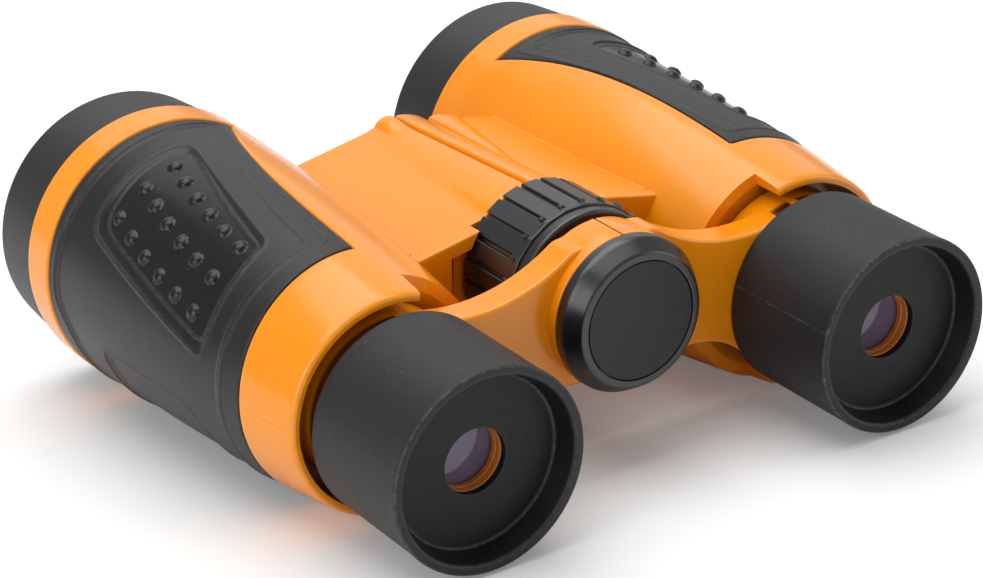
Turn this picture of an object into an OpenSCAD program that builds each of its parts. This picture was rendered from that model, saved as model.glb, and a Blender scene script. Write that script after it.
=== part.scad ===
// Toy binoculars: two barrels on a centre hinge, with a focus wheel that slides both eyepieces.
// X runs towards the right barrel, Y forward to the objectives and Z up.
// The origin lies under the middle, at the height of the lowest point of the barrels.

/* [Overall] */
// Distance between the barrel axes with the barrels spread
axis_spacing = 59; // [56:1:66]
// Height of the hinge axis above the barrel axes
hinge_rise = 5.3; // [4.8:0.1:6.2]
// How far the right barrel folds down about the hinge, in degrees
fold_angle = 35; // [15:1:40]
// How far the wheel drives the eyepieces out
focus_travel = 5; // [3:0.5:6]

/* [Barrel] */
// Length of the barrel from the collar edge to the front shoulder
barrel_len = 59; // [56:1:66]
// Radius of the front band, the widest part
band_r = 17.9; // [17.6:0.1:18.6]
// Length of the front band
band_len = 5.4; // [4:0.2:7]
// How far the barrel behind the band lies below it
band_step = 0.15; // [0.1:0.05:0.4]
// How much the barrel narrows from the band to the collar's rear edge
collar_drop = 4.2; // [3.8:0.1:4.6]
// Wall of the collar around the ocular tube's recess
collar_wall = 0.95; // [0.8:0.05:1.2]
// Bevel around the rear edge of the collar
collar_bevel = 0.45; // [0.2:0.05:0.6]
// Length of the notch that lets the eyepiece arm pass the collar
notch_len = 4.5; // [3.5:0.5:6]
// Distance from the barrel axis to the side of the notch
notch_offset = 3.7; // [2:0.1:5]
// Length of the bore that guides the ocular tube
guide_len = 12; // [9:0.5:13]
// Wall between the front spigot's outside and the hollow between the lenses
chamber_wall = 2; // [1.7:0.1:2.4]

/* [Grip] */
// Length of the grip along the barrel
grip_len = 43.6; // [38:0.2:46]
// Thickness of the grip, and the depth of its seat
grip_thick = 1; // [0.7:0.1:1.1]
// How far the grip lies below the barrel's surface
grip_sink = 0.05; // [0:0.05:0.2]
// Distance from the barrel axis to the grip's inner edge at the rear, seen from above
grip_edge_rear = 2.1; // [1:0.1:4]
// The same distance at the front
grip_edge_front = 9.3; // [6:0.1:11]
// Columns of raised dots along the barrel
dot_columns = 6; // [2:1:7]
// Rows of raised dots around the barrel
dot_rows = 3; // [1:1:3]
// Distance between dots along the barrel
dot_pitch = 4.5; // [3.5:0.1:5]
// Angle between the rows of dots
dot_row_angle = 16.3; // [12:0.1:18]
// Angle of the middle row at the first column, from the inner side over the top
dot_angle = 121; // [110:1:130]
// Angle that each column turns on from the one before it
dot_twist = 3.1; // [0:0.1:4]
// Distance from the front of the grip to the first column of dots
dot_inset = 10.6; // [8:0.1:13]
// Radius of a dot's round top
dot_r = 1.15; // [0.9:0.05:1.3]
// Height of a dot above the grip
dot_rise = 0.55; // [0.3:0.05:0.7]

/* [Objective] */
// Visible length of the objective ring
ring_len = 10; // [8:0.5:13]
// How far the ring's rear edge lies below the band
ring_step = 0.3; // [0.1:0.1:0.6]
// How much the ring narrows towards the front
ring_taper = 0.7; // [0.2:0.1:1]
// Rounding of the ring's front edge
ring_round = 0.6; // [0.3:0.1:0.8]
// How far the barrel's front spigot, inside the ring, lies within the band
spigot_inset = 2.3; // [2:0.1:2.6]
// Length of the front spigot
spigot_len = 5.6; // [5:0.2:6.6]
// How far the opening in the front of the ring lies within the lens's edge
ring_lip = 0.2; // [0.1:0.1:0.6]
// Flare of that opening at the very front
ring_flare = 1; // [0.4:0.1:1.2]
// Wall of the front spigot around the lens
lens_wall = 1.2; // [1:0.1:1.5]
// Thickness of the lens at its rim
lens_rim = 1.6; // [1.2:0.1:2]
// Radius of curvature of the lens faces
lens_curve = 80; // [75:1:120]
// Length of the snap ring in front of the lens
retainer_len = 1.2; // [0.8:0.1:1.6]
// Width of the snap ring
retainer_width = 1.2; // [0.8:0.1:1.5]

/* [Bridge and hinge] */
// Length of the wings along the barrels
bridge_len = 33.5; // [30:0.5:38]
// Wall of the hinge hump around the knuckles, at its front end
hump_wall = 2; // [1.8:0.1:2.6]
// How much the hump widens towards the wheel
hump_flare = 1.3; // [0.5:0.1:1.8]
// How far the wing's top face, carried on to the hinge, lies below the front of the hump
wing_dip = 0.1; // [0:0.1:0.4]
// Slope of the wings down to the barrels, in degrees
wing_slope = 11.3; // [8:0.1:13]
// Thickness of the wings
wing_wall = 1.8; // [1.4:0.1:1.8]
// Thickness of the end walls under the wings
end_wall = 1.8; // [1.2:0.1:2.4]
// Depth of the end walls below the hinge axis
end_wall_drop = 8.2; // [6:0.1:9]
// Gap along the seam between the two halves
seam_gap = 0.3; // [0.2:0.05:0.5]
// Height of the ridge along the seam on the right half
ridge_rise = 0.35; // [0.2:0.05:0.5]
// Width of that ridge
ridge_width = 4.3; // [3:0.1:5]
// Width and depth of the groove beside the ridge
ridge_groove = 0.8; // [0.5:0.1:1]
// Radius of the stop nub at the front of the seam
nub_r = 1.4; // [1:0.1:1.6]
// Length of the stop nub
nub_len = 2.4; // [1.5:0.1:4]
// Outer radius of the hinge tube
tube_r = 3.4; // [3.2:0.1:3.6]
// Wall of the hinge tube
tube_wall = 0.9; // [0.7:0.1:1.1]
// Wall of the hinge knuckles around the tube
knuckle_wall = 2.2; // [1.8:0.1:2.4]
// Number of knuckles, shared by the two halves
knuckles = 4; // [2:2:6]
// Thickness of the head of the front plug
plug_head = 1; // [0.8:0.1:1.6]
// Length of the plug's stem inside the tube
plug_stem = 4; // [2:0.5:6]

/* [Focus wheel] */
// Radius of the focus wheel
wheel_r = 10.5; // [10.2:0.1:11]
// Length of the focus wheel
wheel_len = 11.9; // [11.2:0.1:13]
// Length of the wheel that the wings cover
wheel_cover = 1.7; // [1:0.1:2.4]
// Number of grooves around the wheel
wheel_grooves = 23; // [16:1:28]
// Width and depth of a groove
groove_size = 0.6; // [0.3:0.1:0.8]
// Length of the smooth ring at the rear of the wheel
wheel_lip = 1.7; // [1:0.1:2.2]
// How far the smooth ring lies below the ridges
wheel_lip_step = 0.35; // [0.2:0.05:0.6]
// Wall of the drive nut around the spindle
nut_wall = 3.4; // [3.2:0.1:3.8]
// Length of the drive nut
nut_len = 4; // [3:0.5:4.5]
// Depth of the nut below the wheel's rear face
nut_inset = 0.4; // [0.2:0.1:0.8]
// Thickness of the clip on the hinge tube
clip_thick = 0.6; // [0.4:0.1:0.8]
// Width of the clip outside the tube
clip_width = 1.4; // [1:0.1:1.5]
// Depth of the clip's groove in the tube
clip_depth = 0.4; // [0.2:0.1:0.5]
// Room between the spindle and the bore of the hinge tube
spindle_room = 0.4; // [0.3:0.05:0.7]

/* [Eyepiece] */
// How far the sliding ocular tube lies within the eyecup's outside
ocular_inset = 1.4; // [1.2:0.1:1.8]
// Thickness of the eyepiece arms along the barrels
arm_thick = 4.5; // [4:0.1:5]
// Depth of the waist in the arm's top edge below the top of the ocular tube
arm_dip = 1.6; // [1:0.1:2.2]
// Depth of the waist in the arm's lower edge below the barrel axis
arm_drop = 3.1; // [2:0.1:4]
// Radius of the hollow in the arm's top edge
arm_top_curve = 23; // [20:0.5:26]
// Radius of the hollow in the arm's lower edge
arm_low_curve = 11; // [9:0.5:13]
// Length of the eyecup
cup_len = 17.7; // [15:0.1:21]
// Distance from the collar edge back to the eyecup at rest
cup_gap = 1.9; // [1:0.1:2.5]
// Room around the eyecup inside the collar
collar_room = 0.35; // [0.3:0.05:0.45]
// Wall of the eyecup around its spigot
cup_wall = 2.8; // [2.4:0.1:3.2]
// Depth of the recess behind the eyecup's rim
cup_recess = 3.1; // [2:0.1:4]
// How much the recess narrows from the rim to its floor
cup_lean = 0.85; // [0.4:0.05:1.4]
// Width of the eyecup's rim
cup_rim = 1.05; // [0.8:0.05:1.3]
// Rounding of the eyecup's rim
cup_round = 0.4; // [0.2:0.05:0.4]
// Thickness of the recess floor
cup_floor = 1; // [0.8:0.1:1.6]
// Wall of the eyecup's spigot around the eye lens
eye_lens_wall = 2.4; // [2:0.1:2.8]
// Width of the seat in front of the eye lens
eye_lens_seat = 0.8; // [0.5:0.1:1.2]
// Thickness of the eye lens at its rim
eye_lens_rim = 1.6; // [1.2:0.1:2]
// Depth of the hollow in each face of the eye lens
eye_lens_hollow = 0.4; // [0.2:0.05:0.5]
// Length of the ring behind the eye lens
eye_ring_len = 1.8; // [1.2:0.1:2.4]
// Width of that ring
eye_ring_width = 3.3; // [2.8:0.1:3.8]
// How far the ring's bore lies inside the eye hole
eye_ring_step = 0.1; // [0.05:0.05:0.4]

/* [Hub and cap] */
// Wall of the hub around the rings inside it
hub_wall = 2.9; // [2.5:0.1:3.2]
// How far the hub stands behind the arms
hub_lip = 1.4; // [0.8:0.1:2]
// Room between the hub and the wheel at rest
hub_room = 0.9; // [0.5:0.1:1.4]
// Wall of the rings inside the hub
hub_ring_wall = 3.2; // [2.8:0.1:3.4]
// Radius of the spindle's sleeve inside the hub
sleeve_r = 3; // [2.7:0.1:3.3]
// Width of the spindle's flange around the sleeve
flange_width = 1.4; // [1:0.1:1.8]
// Thickness of the spindle's flange
flange_len = 1.2; // [0.8:0.1:1.5]
// How far the hub cap stands out around the hub
cap_step = 0.1; // [0:0.05:0.4]
// Length of the hub cap
cap_len = 3.6; // [3.2:0.1:4.5]
// Length of the cap's straight side
cap_side = 1.4; // [1:0.1:1.8]
// Width of the cap's bevel
cap_bevel = 1.35; // [1:0.05:1.6]
// Width of the flat ring around the disc set into the cap
cap_land = 0.92; // [0.6:0.02:1.3]
// Thickness of that disc
disc_thick = 0.7; // [0.5:0.1:0.9]
// Groove around the disc
disc_gap = 0.13; // [0.08:0.01:0.25]
// Width of the friction washer
washer_width = 2.6; // [1.8:0.1:2.8]
// Thickness of the friction washer
washer_thick = 0.5; // [0.3:0.1:0.6]
// Radius of the screw's shank
screw_r = 0.9; // [0.7:0.05:1.1]
// Radius of the screw's head
screw_head_r = 2; // [1.7:0.1:2.4]
// Thickness of the screw's head
screw_head = 0.8; // [0.6:0.1:0.9]
// Length of the screw's shank
screw_len = 5.5; // [4:0.5:6]

/* [Fits] */
// Radial clearance of a running fit
run_gap = 0.06; // [0.02:0.01:0.09]
// Clearance of pieces seated in each other
fit_gap = 0.03; // [0.01:0.01:0.05]
// End play between turning faces
end_play = 0.12; // [0.08:0.02:0.2]
// Radial room around a knuckle or ring that turns inside a shell
shell_room = 0.6; // [0.4:0.1:0.6]
// Radial room around the wheel in the bridge
wheel_room = 0.35; // [0.3:0.05:0.6]
// End room between the wheel and the bridge
wheel_end_room = 0.4; // [0.3:0.05:0.6]
// Spare angle at the end of the fold, in degrees
fold_spare = 1; // [0.5:0.25:2]

/* [Hidden] */
$fn = 96;
eps = 0.5;
reach = 80;
taper_steps = 12;
curve_steps = 8;
axis_x = axis_spacing / 2;
axis_z = band_r;
hinge_z = axis_z + hinge_rise;

// Radii that follow from the pieces they fit
shoulder_r = band_r - band_step;
collar_r = band_r - collar_drop;
spigot_r = band_r - spigot_inset;
chamber_r = spigot_r - chamber_wall;
lens_r = spigot_r - lens_wall;
ring_bore_r = lens_r - ring_lip;
recess_r = collar_r - collar_wall;
cup_r = recess_r - collar_room;
ocular_r = cup_r - ocular_inset;
guide_r = ocular_r + run_gap;
cup_spigot_r = cup_r - cup_wall;
cup_floor_r = cup_r - cup_rim - cup_lean;
eye_lens_r = cup_spigot_r - eye_lens_wall;
ocular_bore_r = eye_lens_r - eye_lens_seat;
eye_ring_bore_r = eye_lens_r - eye_ring_width;
eye_hole_r = eye_ring_bore_r + eye_ring_step;
tube_bore_r = tube_r - tube_wall;
spindle_r = tube_bore_r - spindle_room;
nut_r = spindle_r + nut_wall;
knuckle_r = tube_r + knuckle_wall;
knuckle_room_r = knuckle_r + shell_room;
hump_front_r = knuckle_room_r + hump_wall;
hump_rear_r = hump_front_r + hump_flare;
wing_crest = hump_front_r - wing_dip;
hub_ring_r = sleeve_r + hub_ring_wall;
hub_room_r = hub_ring_r + shell_room;
hub_r = hub_room_r + hub_wall;
cap_r = hub_r + cap_step;
disc_r = cap_r - cap_bevel - cap_land - disc_gap;
flange_r = sleeve_r + flange_width;
washer_r = sleeve_r + washer_width;
pocket_r = wheel_r + wheel_room;
cheek_x = pocket_r + wing_wall;
retainer_bore_r = lens_r - retainer_width;
lens_face_r = retainer_bore_r - end_play;
wedge = fold_angle / 2 + fold_spare;

// Places along the barrels, from the eyecup rims forward
total_len = cup_len + cup_gap + barrel_len + ring_len;
rim_y = -total_len / 2;
cup_y = rim_y + cup_len;
collar_y = cup_y + cup_gap;
front_y = collar_y + barrel_len;
ring_y = front_y + ring_len;
band_y = front_y - band_len;
notch_y = collar_y + notch_len;
guide_y = notch_y + guide_len;
grip_y = band_y - grip_len;
spigot_y = front_y + spigot_len;
retainer_y = spigot_y - retainer_len;
lens_y = retainer_y - lens_rim;
arm_y = cup_y + arm_thick;
hub_y = cup_y - hub_lip;
hub_split_y = (arm_y + hub_y) / 2;
wheel_rear_y = arm_y + hub_room;
wheel_front_y = wheel_rear_y + wheel_len;
pocket_y = wheel_front_y + wheel_end_room;
bridge_rear_y = wheel_front_y - wheel_cover;
bridge_front_y = bridge_rear_y + bridge_len;
plug_y = bridge_front_y - plug_head - end_play;
knuckle_len = (plug_y - pocket_y) / knuckles;
nut_rear_y = wheel_rear_y + nut_inset;
nut_front_y = nut_rear_y + nut_len;
tube_rear_y = nut_front_y + clip_thick;
clip_y = tube_rear_y + clip_thick;
shoulder_y = clip_y + clip_thick + end_play;
spindle_front_y = nut_front_y + focus_travel + spindle_r;
cup_floor_y = rim_y + cup_recess;
cup_spigot_y = cup_floor_y + cup_floor + fit_gap;
eye_ring_y = cup_spigot_y + eye_ring_len;
eye_lens_y = eye_ring_y + eye_lens_rim;
ocular_front_y = guide_y - end_play - fit_gap;
cap_front_y = hub_y - end_play;
cap_rear_y = cap_front_y - cap_len;
washer_y = cap_front_y - washer_thick;
disc_y = cap_rear_y + disc_thick;
screw_y = disc_y + screw_head + fit_gap;

// Radius of curvature of the barrel's long taper
taper_curve = pow(band_y - collar_y, 2) / (2 * (shoulder_r - collar_r));

orange = "#fa961c";
dark = "#35353a";
black = "#17171a";
glass = "#b9c6d6";
metal = "#b8b8bc";

// Outer radius of the barrel behind the band: an arc that starts level with the band
function barrel_r(y) = shoulder_r - pow(band_y - y, 2) / (2 * taper_curve);

// Height of a lens face of the given curve above its rim, at radius r
function lens_sag(r, face_r, curve) = sqrt(curve * curve - r * r) - sqrt(curve * curve - face_r * face_r);

// Start of a knuckle's place along the hinge
function knuckle_y(k) = pocket_y + k * knuckle_len;

// A rod along Y about the hinge axis
module hinge_rod(r, y0, y1) {
    translate([0, y0, hinge_z]) rotate([-90, 0, 0]) cylinder(r = r, h = y1 - y0);
}

// A profile of [radius, y] points turned about the hinge axis
module hinge_turn(points) {
    translate([0, 0, hinge_z]) rotate([-90, 0, 0]) rotate_extrude() polygon(points);
}

// A rod along Y about the left barrel axis
module barrel_rod(r, y0, y1) {
    translate([-axis_x, y0, axis_z]) rotate([-90, 0, 0]) cylinder(r = r, h = y1 - y0);
}

// A profile of [radius, y] points turned about the left barrel axis
module barrel_turn(points) {
    translate([-axis_x, 0, axis_z]) rotate([-90, 0, 0]) rotate_extrude() polygon(points);
}

// An outline of [x, z] points carried along Y
module prism(points, y0, y1) {
    translate([0, y1, 0]) rotate([90, 0, 0]) linear_extrude(y1 - y0) polygon(points);
}

// The left side of the hinge: up to the seam above the axis, and clear of the fold below it
module left_sector(y0, y1) {
    side = -seam_gap / 2;
    prism([[side, hinge_z + reach], [-reach, hinge_z + reach], [-reach, hinge_z - reach],
        [side - reach * tan(wedge), hinge_z - reach], [side, hinge_z]], y0, y1);
}

// The barrel's outside, solid to its axis
module barrel_outside() {
    barrel_turn(concat(
        [[0, collar_y], [collar_r - collar_bevel, collar_y]],
        [for (i = [0 : taper_steps])
            let (y = collar_y + collar_bevel + (band_y - collar_y - collar_bevel) * i / taper_steps)
            [barrel_r(y), y]],
        [[band_r, band_y], [band_r, front_y - band_step], [band_r - band_step, front_y],
            [spigot_r, front_y], [spigot_r, spigot_y], [0, spigot_y]]));
}

// The barrel's hollow: collar recess, guide for the ocular tube, chamber and lens seat
module barrel_inside() {
    cone = chamber_r - guide_r;
    barrel_turn([[0, collar_y - eps], [recess_r, collar_y - eps], [recess_r, notch_y],
        [guide_r, notch_y], [guide_r, guide_y], [chamber_r, guide_y + cone], [chamber_r, lens_y],
        [lens_r + fit_gap, lens_y], [lens_r + fit_gap, spigot_y + eps], [0, spigot_y + eps]]);
}

// The part of the barrel that the grip covers, seen from above, drawn in by a gap
module grip_zone(gap) {
    edge = [for (i = [0 : curve_steps])
        let (t = i / curve_steps)
        [-axis_x + grip_edge_rear + (grip_edge_front - grip_edge_rear) * pow(t, 3) - gap,
            grip_y + gap + (grip_len - 2 * gap) * t]];
    outside = -axis_x - band_r - eps;
    translate([0, 0, axis_z - band_r - eps]) linear_extrude(2 * (band_r + eps))
        polygon(concat(edge, [[outside, band_y - gap], [outside, grip_y + gap]]));
}

// A layer of the barrel's surface over the grip's length, between two depths below it
module grip_layer(depth, top) {
    span = [for (i = [0 : taper_steps]) grip_y + grip_len * i / taper_steps];
    barrel_turn(concat(
        [for (y = span) [barrel_r(y) - depth, y]],
        [for (i = [taper_steps : -1 : 0]) [barrel_r(span[i]) - top, span[i]]]));
}

// Height of the wing's top face at a distance from the hinge
function wing_z(x) = hinge_z + wing_crest - x * tan(wing_slope);

// The left wing, its end walls and its half of the hinge hump
module bridge_half(own, ridge) {
    floor_z = hinge_z - end_wall_drop;
    intersection() {
        left_sector(bridge_rear_y - eps, bridge_front_y + eps);
        difference() {
            union() {
                hinge_turn([[0, pocket_y], [hump_rear_r + ridge, pocket_y],
                    [hump_front_r + ridge, bridge_front_y], [0, bridge_front_y]]);
                prism([[0, wing_z(0)], [-axis_x, wing_z(axis_x)], [-axis_x, wing_z(axis_x) - wing_wall],
                    [0, wing_z(0) - wing_wall]], bridge_rear_y, bridge_front_y);
                for (y = [pocket_y, bridge_front_y - end_wall])
                    prism([[0, hinge_z], [0, floor_z], [-axis_x, floor_z],
                        [-axis_x, wing_z(axis_x) - eps], [0, wing_z(0) - eps]], y, y + end_wall);
                prism([[-cheek_x, floor_z], [-axis_x, floor_z], [-axis_x, wing_z(axis_x) - eps],
                    [-cheek_x, wing_z(cheek_x) - eps]], bridge_rear_y, pocket_y + eps);
            }
            hinge_rod(pocket_r, bridge_rear_y - eps, pocket_y);
            hinge_rod(knuckle_room_r, plug_y, bridge_front_y + eps);
            for (k = [0 : knuckles - 1])
                if (k % 2 != own) hinge_rod(knuckle_room_r, knuckle_y(k), knuckle_y(k + 1));
        }
    }
    for (k = [own : 2 : knuckles - 1])
        hinge_rod(knuckle_r, knuckle_y(k) + end_play, knuckle_y(k + 1) - end_play);
}

// A barrel with its half of the bridge, on the left
module body_half(own, tube_gap, ridge) {
    difference() {
        union() {
            barrel_outside();
            bridge_half(own, ridge);
            children();
        }
        barrel_inside();
        intersection() {
            grip_layer(grip_thick + fit_gap, -eps);
            grip_zone(0);
        }
        translate([-axis_x + notch_offset, collar_y - eps, axis_z - band_r])
            cube([collar_r + eps, notch_len + eps, 2 * band_r]);
        hinge_rod(tube_r + tube_gap, pocket_y - eps, bridge_front_y + eps);
    }
}

module left_body() {
    color(orange) body_half(0, fit_gap, 0)
        translate([-seam_gap / 2 - nub_r, bridge_front_y - nub_len, hinge_z + hump_front_r - nub_r / 2])
            rotate([-90, 0, 0]) cylinder(r = nub_r, h = nub_len);
}

module right_body() {
    color(orange) mirror([1, 0, 0]) difference() {
        body_half(1, run_gap, ridge_rise);
        translate([-ridge_width - ridge_groove, pocket_y - eps, wing_z(ridge_width + ridge_groove) - ridge_groove])
            cube([ridge_groove, bridge_front_y - pocket_y + 2 * eps, hump_rear_r]);
    }
}

// The grip pad with its raised dots, on the left
module grip_half() {
    middle = (dot_rows - 1) / 2;
    intersection() {
        grip_layer(grip_thick, grip_sink);
        grip_zone(fit_gap);
    }
    intersection() {
        grip_layer(grip_thick / 2, -dot_r);
        for (column = [0 : dot_columns - 1], row = [0 : dot_rows - 1]) {
            y = band_y - dot_inset - column * dot_pitch;
            angle = dot_angle + dot_twist * column + dot_row_angle * (row - middle);
            r = barrel_r(y) - grip_sink - dot_r + dot_rise;
            translate([-axis_x + r * cos(angle), y, axis_z + r * sin(angle)]) sphere(r = dot_r);
        }
    }
}

module left_grip() { color(dark) grip_half(); }
module right_grip() { color(dark) mirror([1, 0, 0]) grip_half(); }

// The dark ring that sleeves the front spigot and carries the objective's opening
module objective_ring_half() {
    rear_r = band_r - ring_step;
    front_r = rear_r - ring_taper;
    seat_y = spigot_y + fit_gap;
    barrel_turn([[spigot_r + fit_gap, front_y + fit_gap], [rear_r, front_y + fit_gap],
        [front_r, ring_y - ring_round], [front_r - ring_round * 0.3, ring_y - ring_round * 0.3],
        [front_r - ring_round, ring_y], [ring_bore_r + ring_flare, ring_y],
        [ring_bore_r, ring_y - ring_flare], [ring_bore_r, seat_y], [spigot_r + fit_gap, seat_y]]);
}

module left_objective_ring() { color(dark) objective_ring_half(); }
module right_objective_ring() { color(dark) mirror([1, 0, 0]) objective_ring_half(); }

// A biconvex lens with a flat rim
module objective_lens_half() {
    front = retainer_y - fit_gap;
    rear = lens_y + fit_gap;
    faces = [for (i = [0 : curve_steps]) lens_face_r * i / curve_steps];
    barrel_turn(concat(
        [for (r = faces) [r, rear - lens_sag(r, lens_face_r, lens_curve)]],
        [[lens_r, rear], [lens_r, front]],
        [for (i = [curve_steps : -1 : 0])
            [faces[i], front + lens_sag(faces[i], lens_face_r, lens_curve)]]));
}

module left_objective_lens() { color(glass) objective_lens_half(); }
module right_objective_lens() { color(glass) mirror([1, 0, 0]) objective_lens_half(); }

// The snap ring in front of the lens
module lens_retainer_half() {
    barrel_turn([[retainer_bore_r, retainer_y], [lens_r, retainer_y], [lens_r, spigot_y], [retainer_bore_r, spigot_y]]);
}

module left_lens_retainer() { color(black) lens_retainer_half(); }
module right_lens_retainer() { color(black) mirror([1, 0, 0]) lens_retainer_half(); }

// The arm's outline between the hub and the ocular tube, waisted above and below
module arm_plate() {
    waist_x = -(hub_r + axis_x) / 2;
    low_x = -hub_r - wing_wall;
    difference() {
        prism([[0, hinge_z + hub_r - eps], [-axis_x, axis_z + ocular_r - eps / 5],
            [-axis_x, axis_z - ocular_r + eps / 5], [low_x, axis_z - arm_drop],
            [0, hinge_z - hub_r + eps]], cup_y, arm_y);
        translate([waist_x, cup_y - eps, axis_z + ocular_r - arm_dip + arm_top_curve])
            rotate([-90, 0, 0]) cylinder(r = arm_top_curve, h = arm_thick + 2 * eps);
        translate([low_x, cup_y - eps, axis_z - arm_drop - arm_low_curve])
            rotate([-90, 0, 0]) cylinder(r = arm_low_curve, h = arm_thick + 2 * eps);
    }
}

// An arm with its ocular tube and its half of the hub, on the left.
// The ring inside the hub runs between ring_y0 and ring_y1, and the other arm's ring has room beside it.
module eyepiece_half(ring_y0, ring_y1, room_y0, room_y1, sleeve_gap) {
    difference() {
        union() {
            barrel_rod(ocular_r, cup_y, ocular_front_y);
            barrel_rod(cup_spigot_r, cup_spigot_y, cup_y + eps);
            intersection() {
                left_sector(hub_y - eps, arm_y + eps);
                difference() {
                    union() {
                        arm_plate();
                        hinge_rod(hub_r, hub_y, arm_y);
                    }
                    hinge_rod(hub_room_r, room_y0, room_y1);
                }
            }
            hinge_rod(hub_ring_r, ring_y0, ring_y1);
        }
        barrel_rod(ocular_bore_r, cup_spigot_y - eps, ocular_front_y + eps);
        barrel_rod(eye_lens_r + fit_gap, cup_spigot_y - eps, eye_lens_y);
        hinge_rod(sleeve_r + sleeve_gap, hub_y - eps, arm_y + eps);
        children();
    }
}

module left_eyepiece_arm() {
    color(orange) eyepiece_half(hub_split_y + end_play / 2, arm_y, hub_y - eps, hub_split_y, fit_gap)
        hinge_rod(flange_r + fit_gap, arm_y - flange_len, arm_y + eps);
}

module right_eyepiece_arm() {
    color(orange) mirror([1, 0, 0])
        eyepiece_half(hub_y, hub_split_y - end_play / 2, hub_split_y, arm_y + eps, run_gap);
}

// The eyecup: a sleeve with a shallow recess and the eye hole
module eyecup_half() {
    bore_r = cup_spigot_r + fit_gap;
    floor_in_y = cup_floor_y + cup_floor;
    rim_r = cup_r - cup_rim;
    barrel_turn([[bore_r, cup_y - fit_gap], [cup_r - cup_round, cup_y - fit_gap], [cup_r, cup_y - fit_gap - cup_round],
        [cup_r, rim_y + cup_round], [cup_r - cup_round, rim_y], [rim_r + cup_round, rim_y],
        [rim_r, rim_y + cup_round], [cup_floor_r, cup_floor_y], [eye_hole_r, cup_floor_y],
        [eye_hole_r, floor_in_y], [bore_r, floor_in_y]]);
}

module left_eyecup() { color(dark) eyecup_half(); }
module right_eyecup() { color(dark) mirror([1, 0, 0]) eyecup_half(); }

// A hollow-ground eye lens with a flat rim
module eye_lens_half() {
    rear = eye_ring_y + fit_gap;
    front = eye_lens_y - fit_gap;
    face_r = ocular_bore_r - end_play;
    curve = (face_r * face_r + eye_lens_hollow * eye_lens_hollow) / (2 * eye_lens_hollow);
    faces = [for (i = [0 : curve_steps]) face_r * i / curve_steps];
    barrel_turn(concat(
        [for (r = faces) [r, rear + lens_sag(r, face_r, curve)]],
        [[eye_lens_r, rear], [eye_lens_r, front]],
        [for (i = [curve_steps : -1 : 0]) [faces[i], front - lens_sag(faces[i], face_r, curve)]]));
}

module left_eye_lens() { color(glass) eye_lens_half(); }
module right_eye_lens() { color(glass) mirror([1, 0, 0]) eye_lens_half(); }

// The ring that holds the eye lens, seen through the eye hole
module eye_lens_ring_half() {
    barrel_turn([[eye_ring_bore_r, cup_spigot_y], [eye_lens_r, cup_spigot_y],
        [eye_lens_r, eye_ring_y], [eye_ring_bore_r, eye_ring_y]]);
}

module left_eye_lens_ring() { color(orange) eye_lens_ring_half(); }
module right_eye_lens_ring() { color(orange) mirror([1, 0, 0]) eye_lens_ring_half(); }

// The tube that both halves turn on, with the clip's groove near its rear end
module hinge_tube() {
    groove_r = tube_r - clip_depth;
    color(metal) hinge_turn([[tube_bore_r, tube_rear_y], [tube_r, tube_rear_y], [tube_r, clip_y],
        [groove_r, clip_y], [groove_r, clip_y + clip_thick], [tube_r, clip_y + clip_thick],
        [tube_r, plug_y], [tube_bore_r, plug_y]]);
}

// The plug that closes the front of the hinge tube
module hinge_plug() {
    color(orange) {
        hinge_rod(knuckle_r, plug_y + fit_gap, plug_y + plug_head);
        hinge_rod(tube_bore_r - fit_gap, plug_y - plug_stem, plug_y + plug_head / 2);
    }
}

// The ridged wheel, turning on the hinge tube
module focus_wheel() {
    lip_r = wheel_r - wheel_lip_step;
    lip_y = wheel_rear_y + wheel_lip;
    bevel = wheel_lip_step;
    color(black) difference() {
        hinge_turn([[tube_r + run_gap, wheel_front_y], [wheel_r - bevel, wheel_front_y],
            [wheel_r, wheel_front_y - bevel], [wheel_r, lip_y], [lip_r, lip_y],
            [lip_r, wheel_rear_y + bevel], [lip_r - bevel, wheel_rear_y], [nut_r, wheel_rear_y],
            [nut_r, shoulder_y], [tube_r + run_gap, shoulder_y]]);
        for (i = [0 : wheel_grooves - 1])
            translate([0, 0, hinge_z]) rotate([0, i * 360 / wheel_grooves, 0])
                translate([-groove_size / 2, lip_y + wheel_lip_step, wheel_r - groove_size])
                    cube([groove_size, wheel_len, 2 * groove_size]);
    }
}

// The nut in the wheel that drives the spindle
module drive_nut() {
    color(metal) hinge_turn([[spindle_r + run_gap, nut_rear_y], [nut_r - fit_gap, nut_rear_y],
        [nut_r - fit_gap, nut_front_y], [spindle_r + run_gap, nut_front_y]]);
}

// The clip that keeps the wheel on the hinge tube
module wheel_clip() {
    inner_r = tube_r - clip_depth + fit_gap;
    outer_r = tube_r + clip_width;
    color(metal) difference() {
        hinge_turn([[inner_r, clip_y + fit_gap], [outer_r, clip_y + fit_gap],
            [outer_r, clip_y + clip_thick - fit_gap], [inner_r, clip_y + clip_thick - fit_gap]]);
        translate([-inner_r / 2, clip_y - eps, hinge_z - outer_r - eps])
            cube([inner_r, clip_thick + 2 * eps, outer_r]);
    }
}

// The spindle: drive rod, flange in the left arm and sleeve that both arms turn on
module focus_spindle() {
    pilot_y = screw_y + screw_len + fit_gap;
    color(metal) difference() {
        union() {
            hinge_rod(spindle_r, arm_y - flange_len, spindle_front_y);
            hinge_rod(flange_r, arm_y - flange_len + fit_gap, arm_y);
            hinge_rod(sleeve_r, washer_y + fit_gap, arm_y - flange_len + eps);
        }
        hinge_rod(screw_r + fit_gap, washer_y - eps, pilot_y);
    }
}

// The washer that stiffens the fold between the hub and its cap
module friction_washer() {
    color(metal) hinge_turn([[sleeve_r + fit_gap, washer_y + fit_gap], [washer_r, washer_y + fit_gap],
        [washer_r, cap_front_y], [sleeve_r + fit_gap, cap_front_y]]);
}

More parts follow.
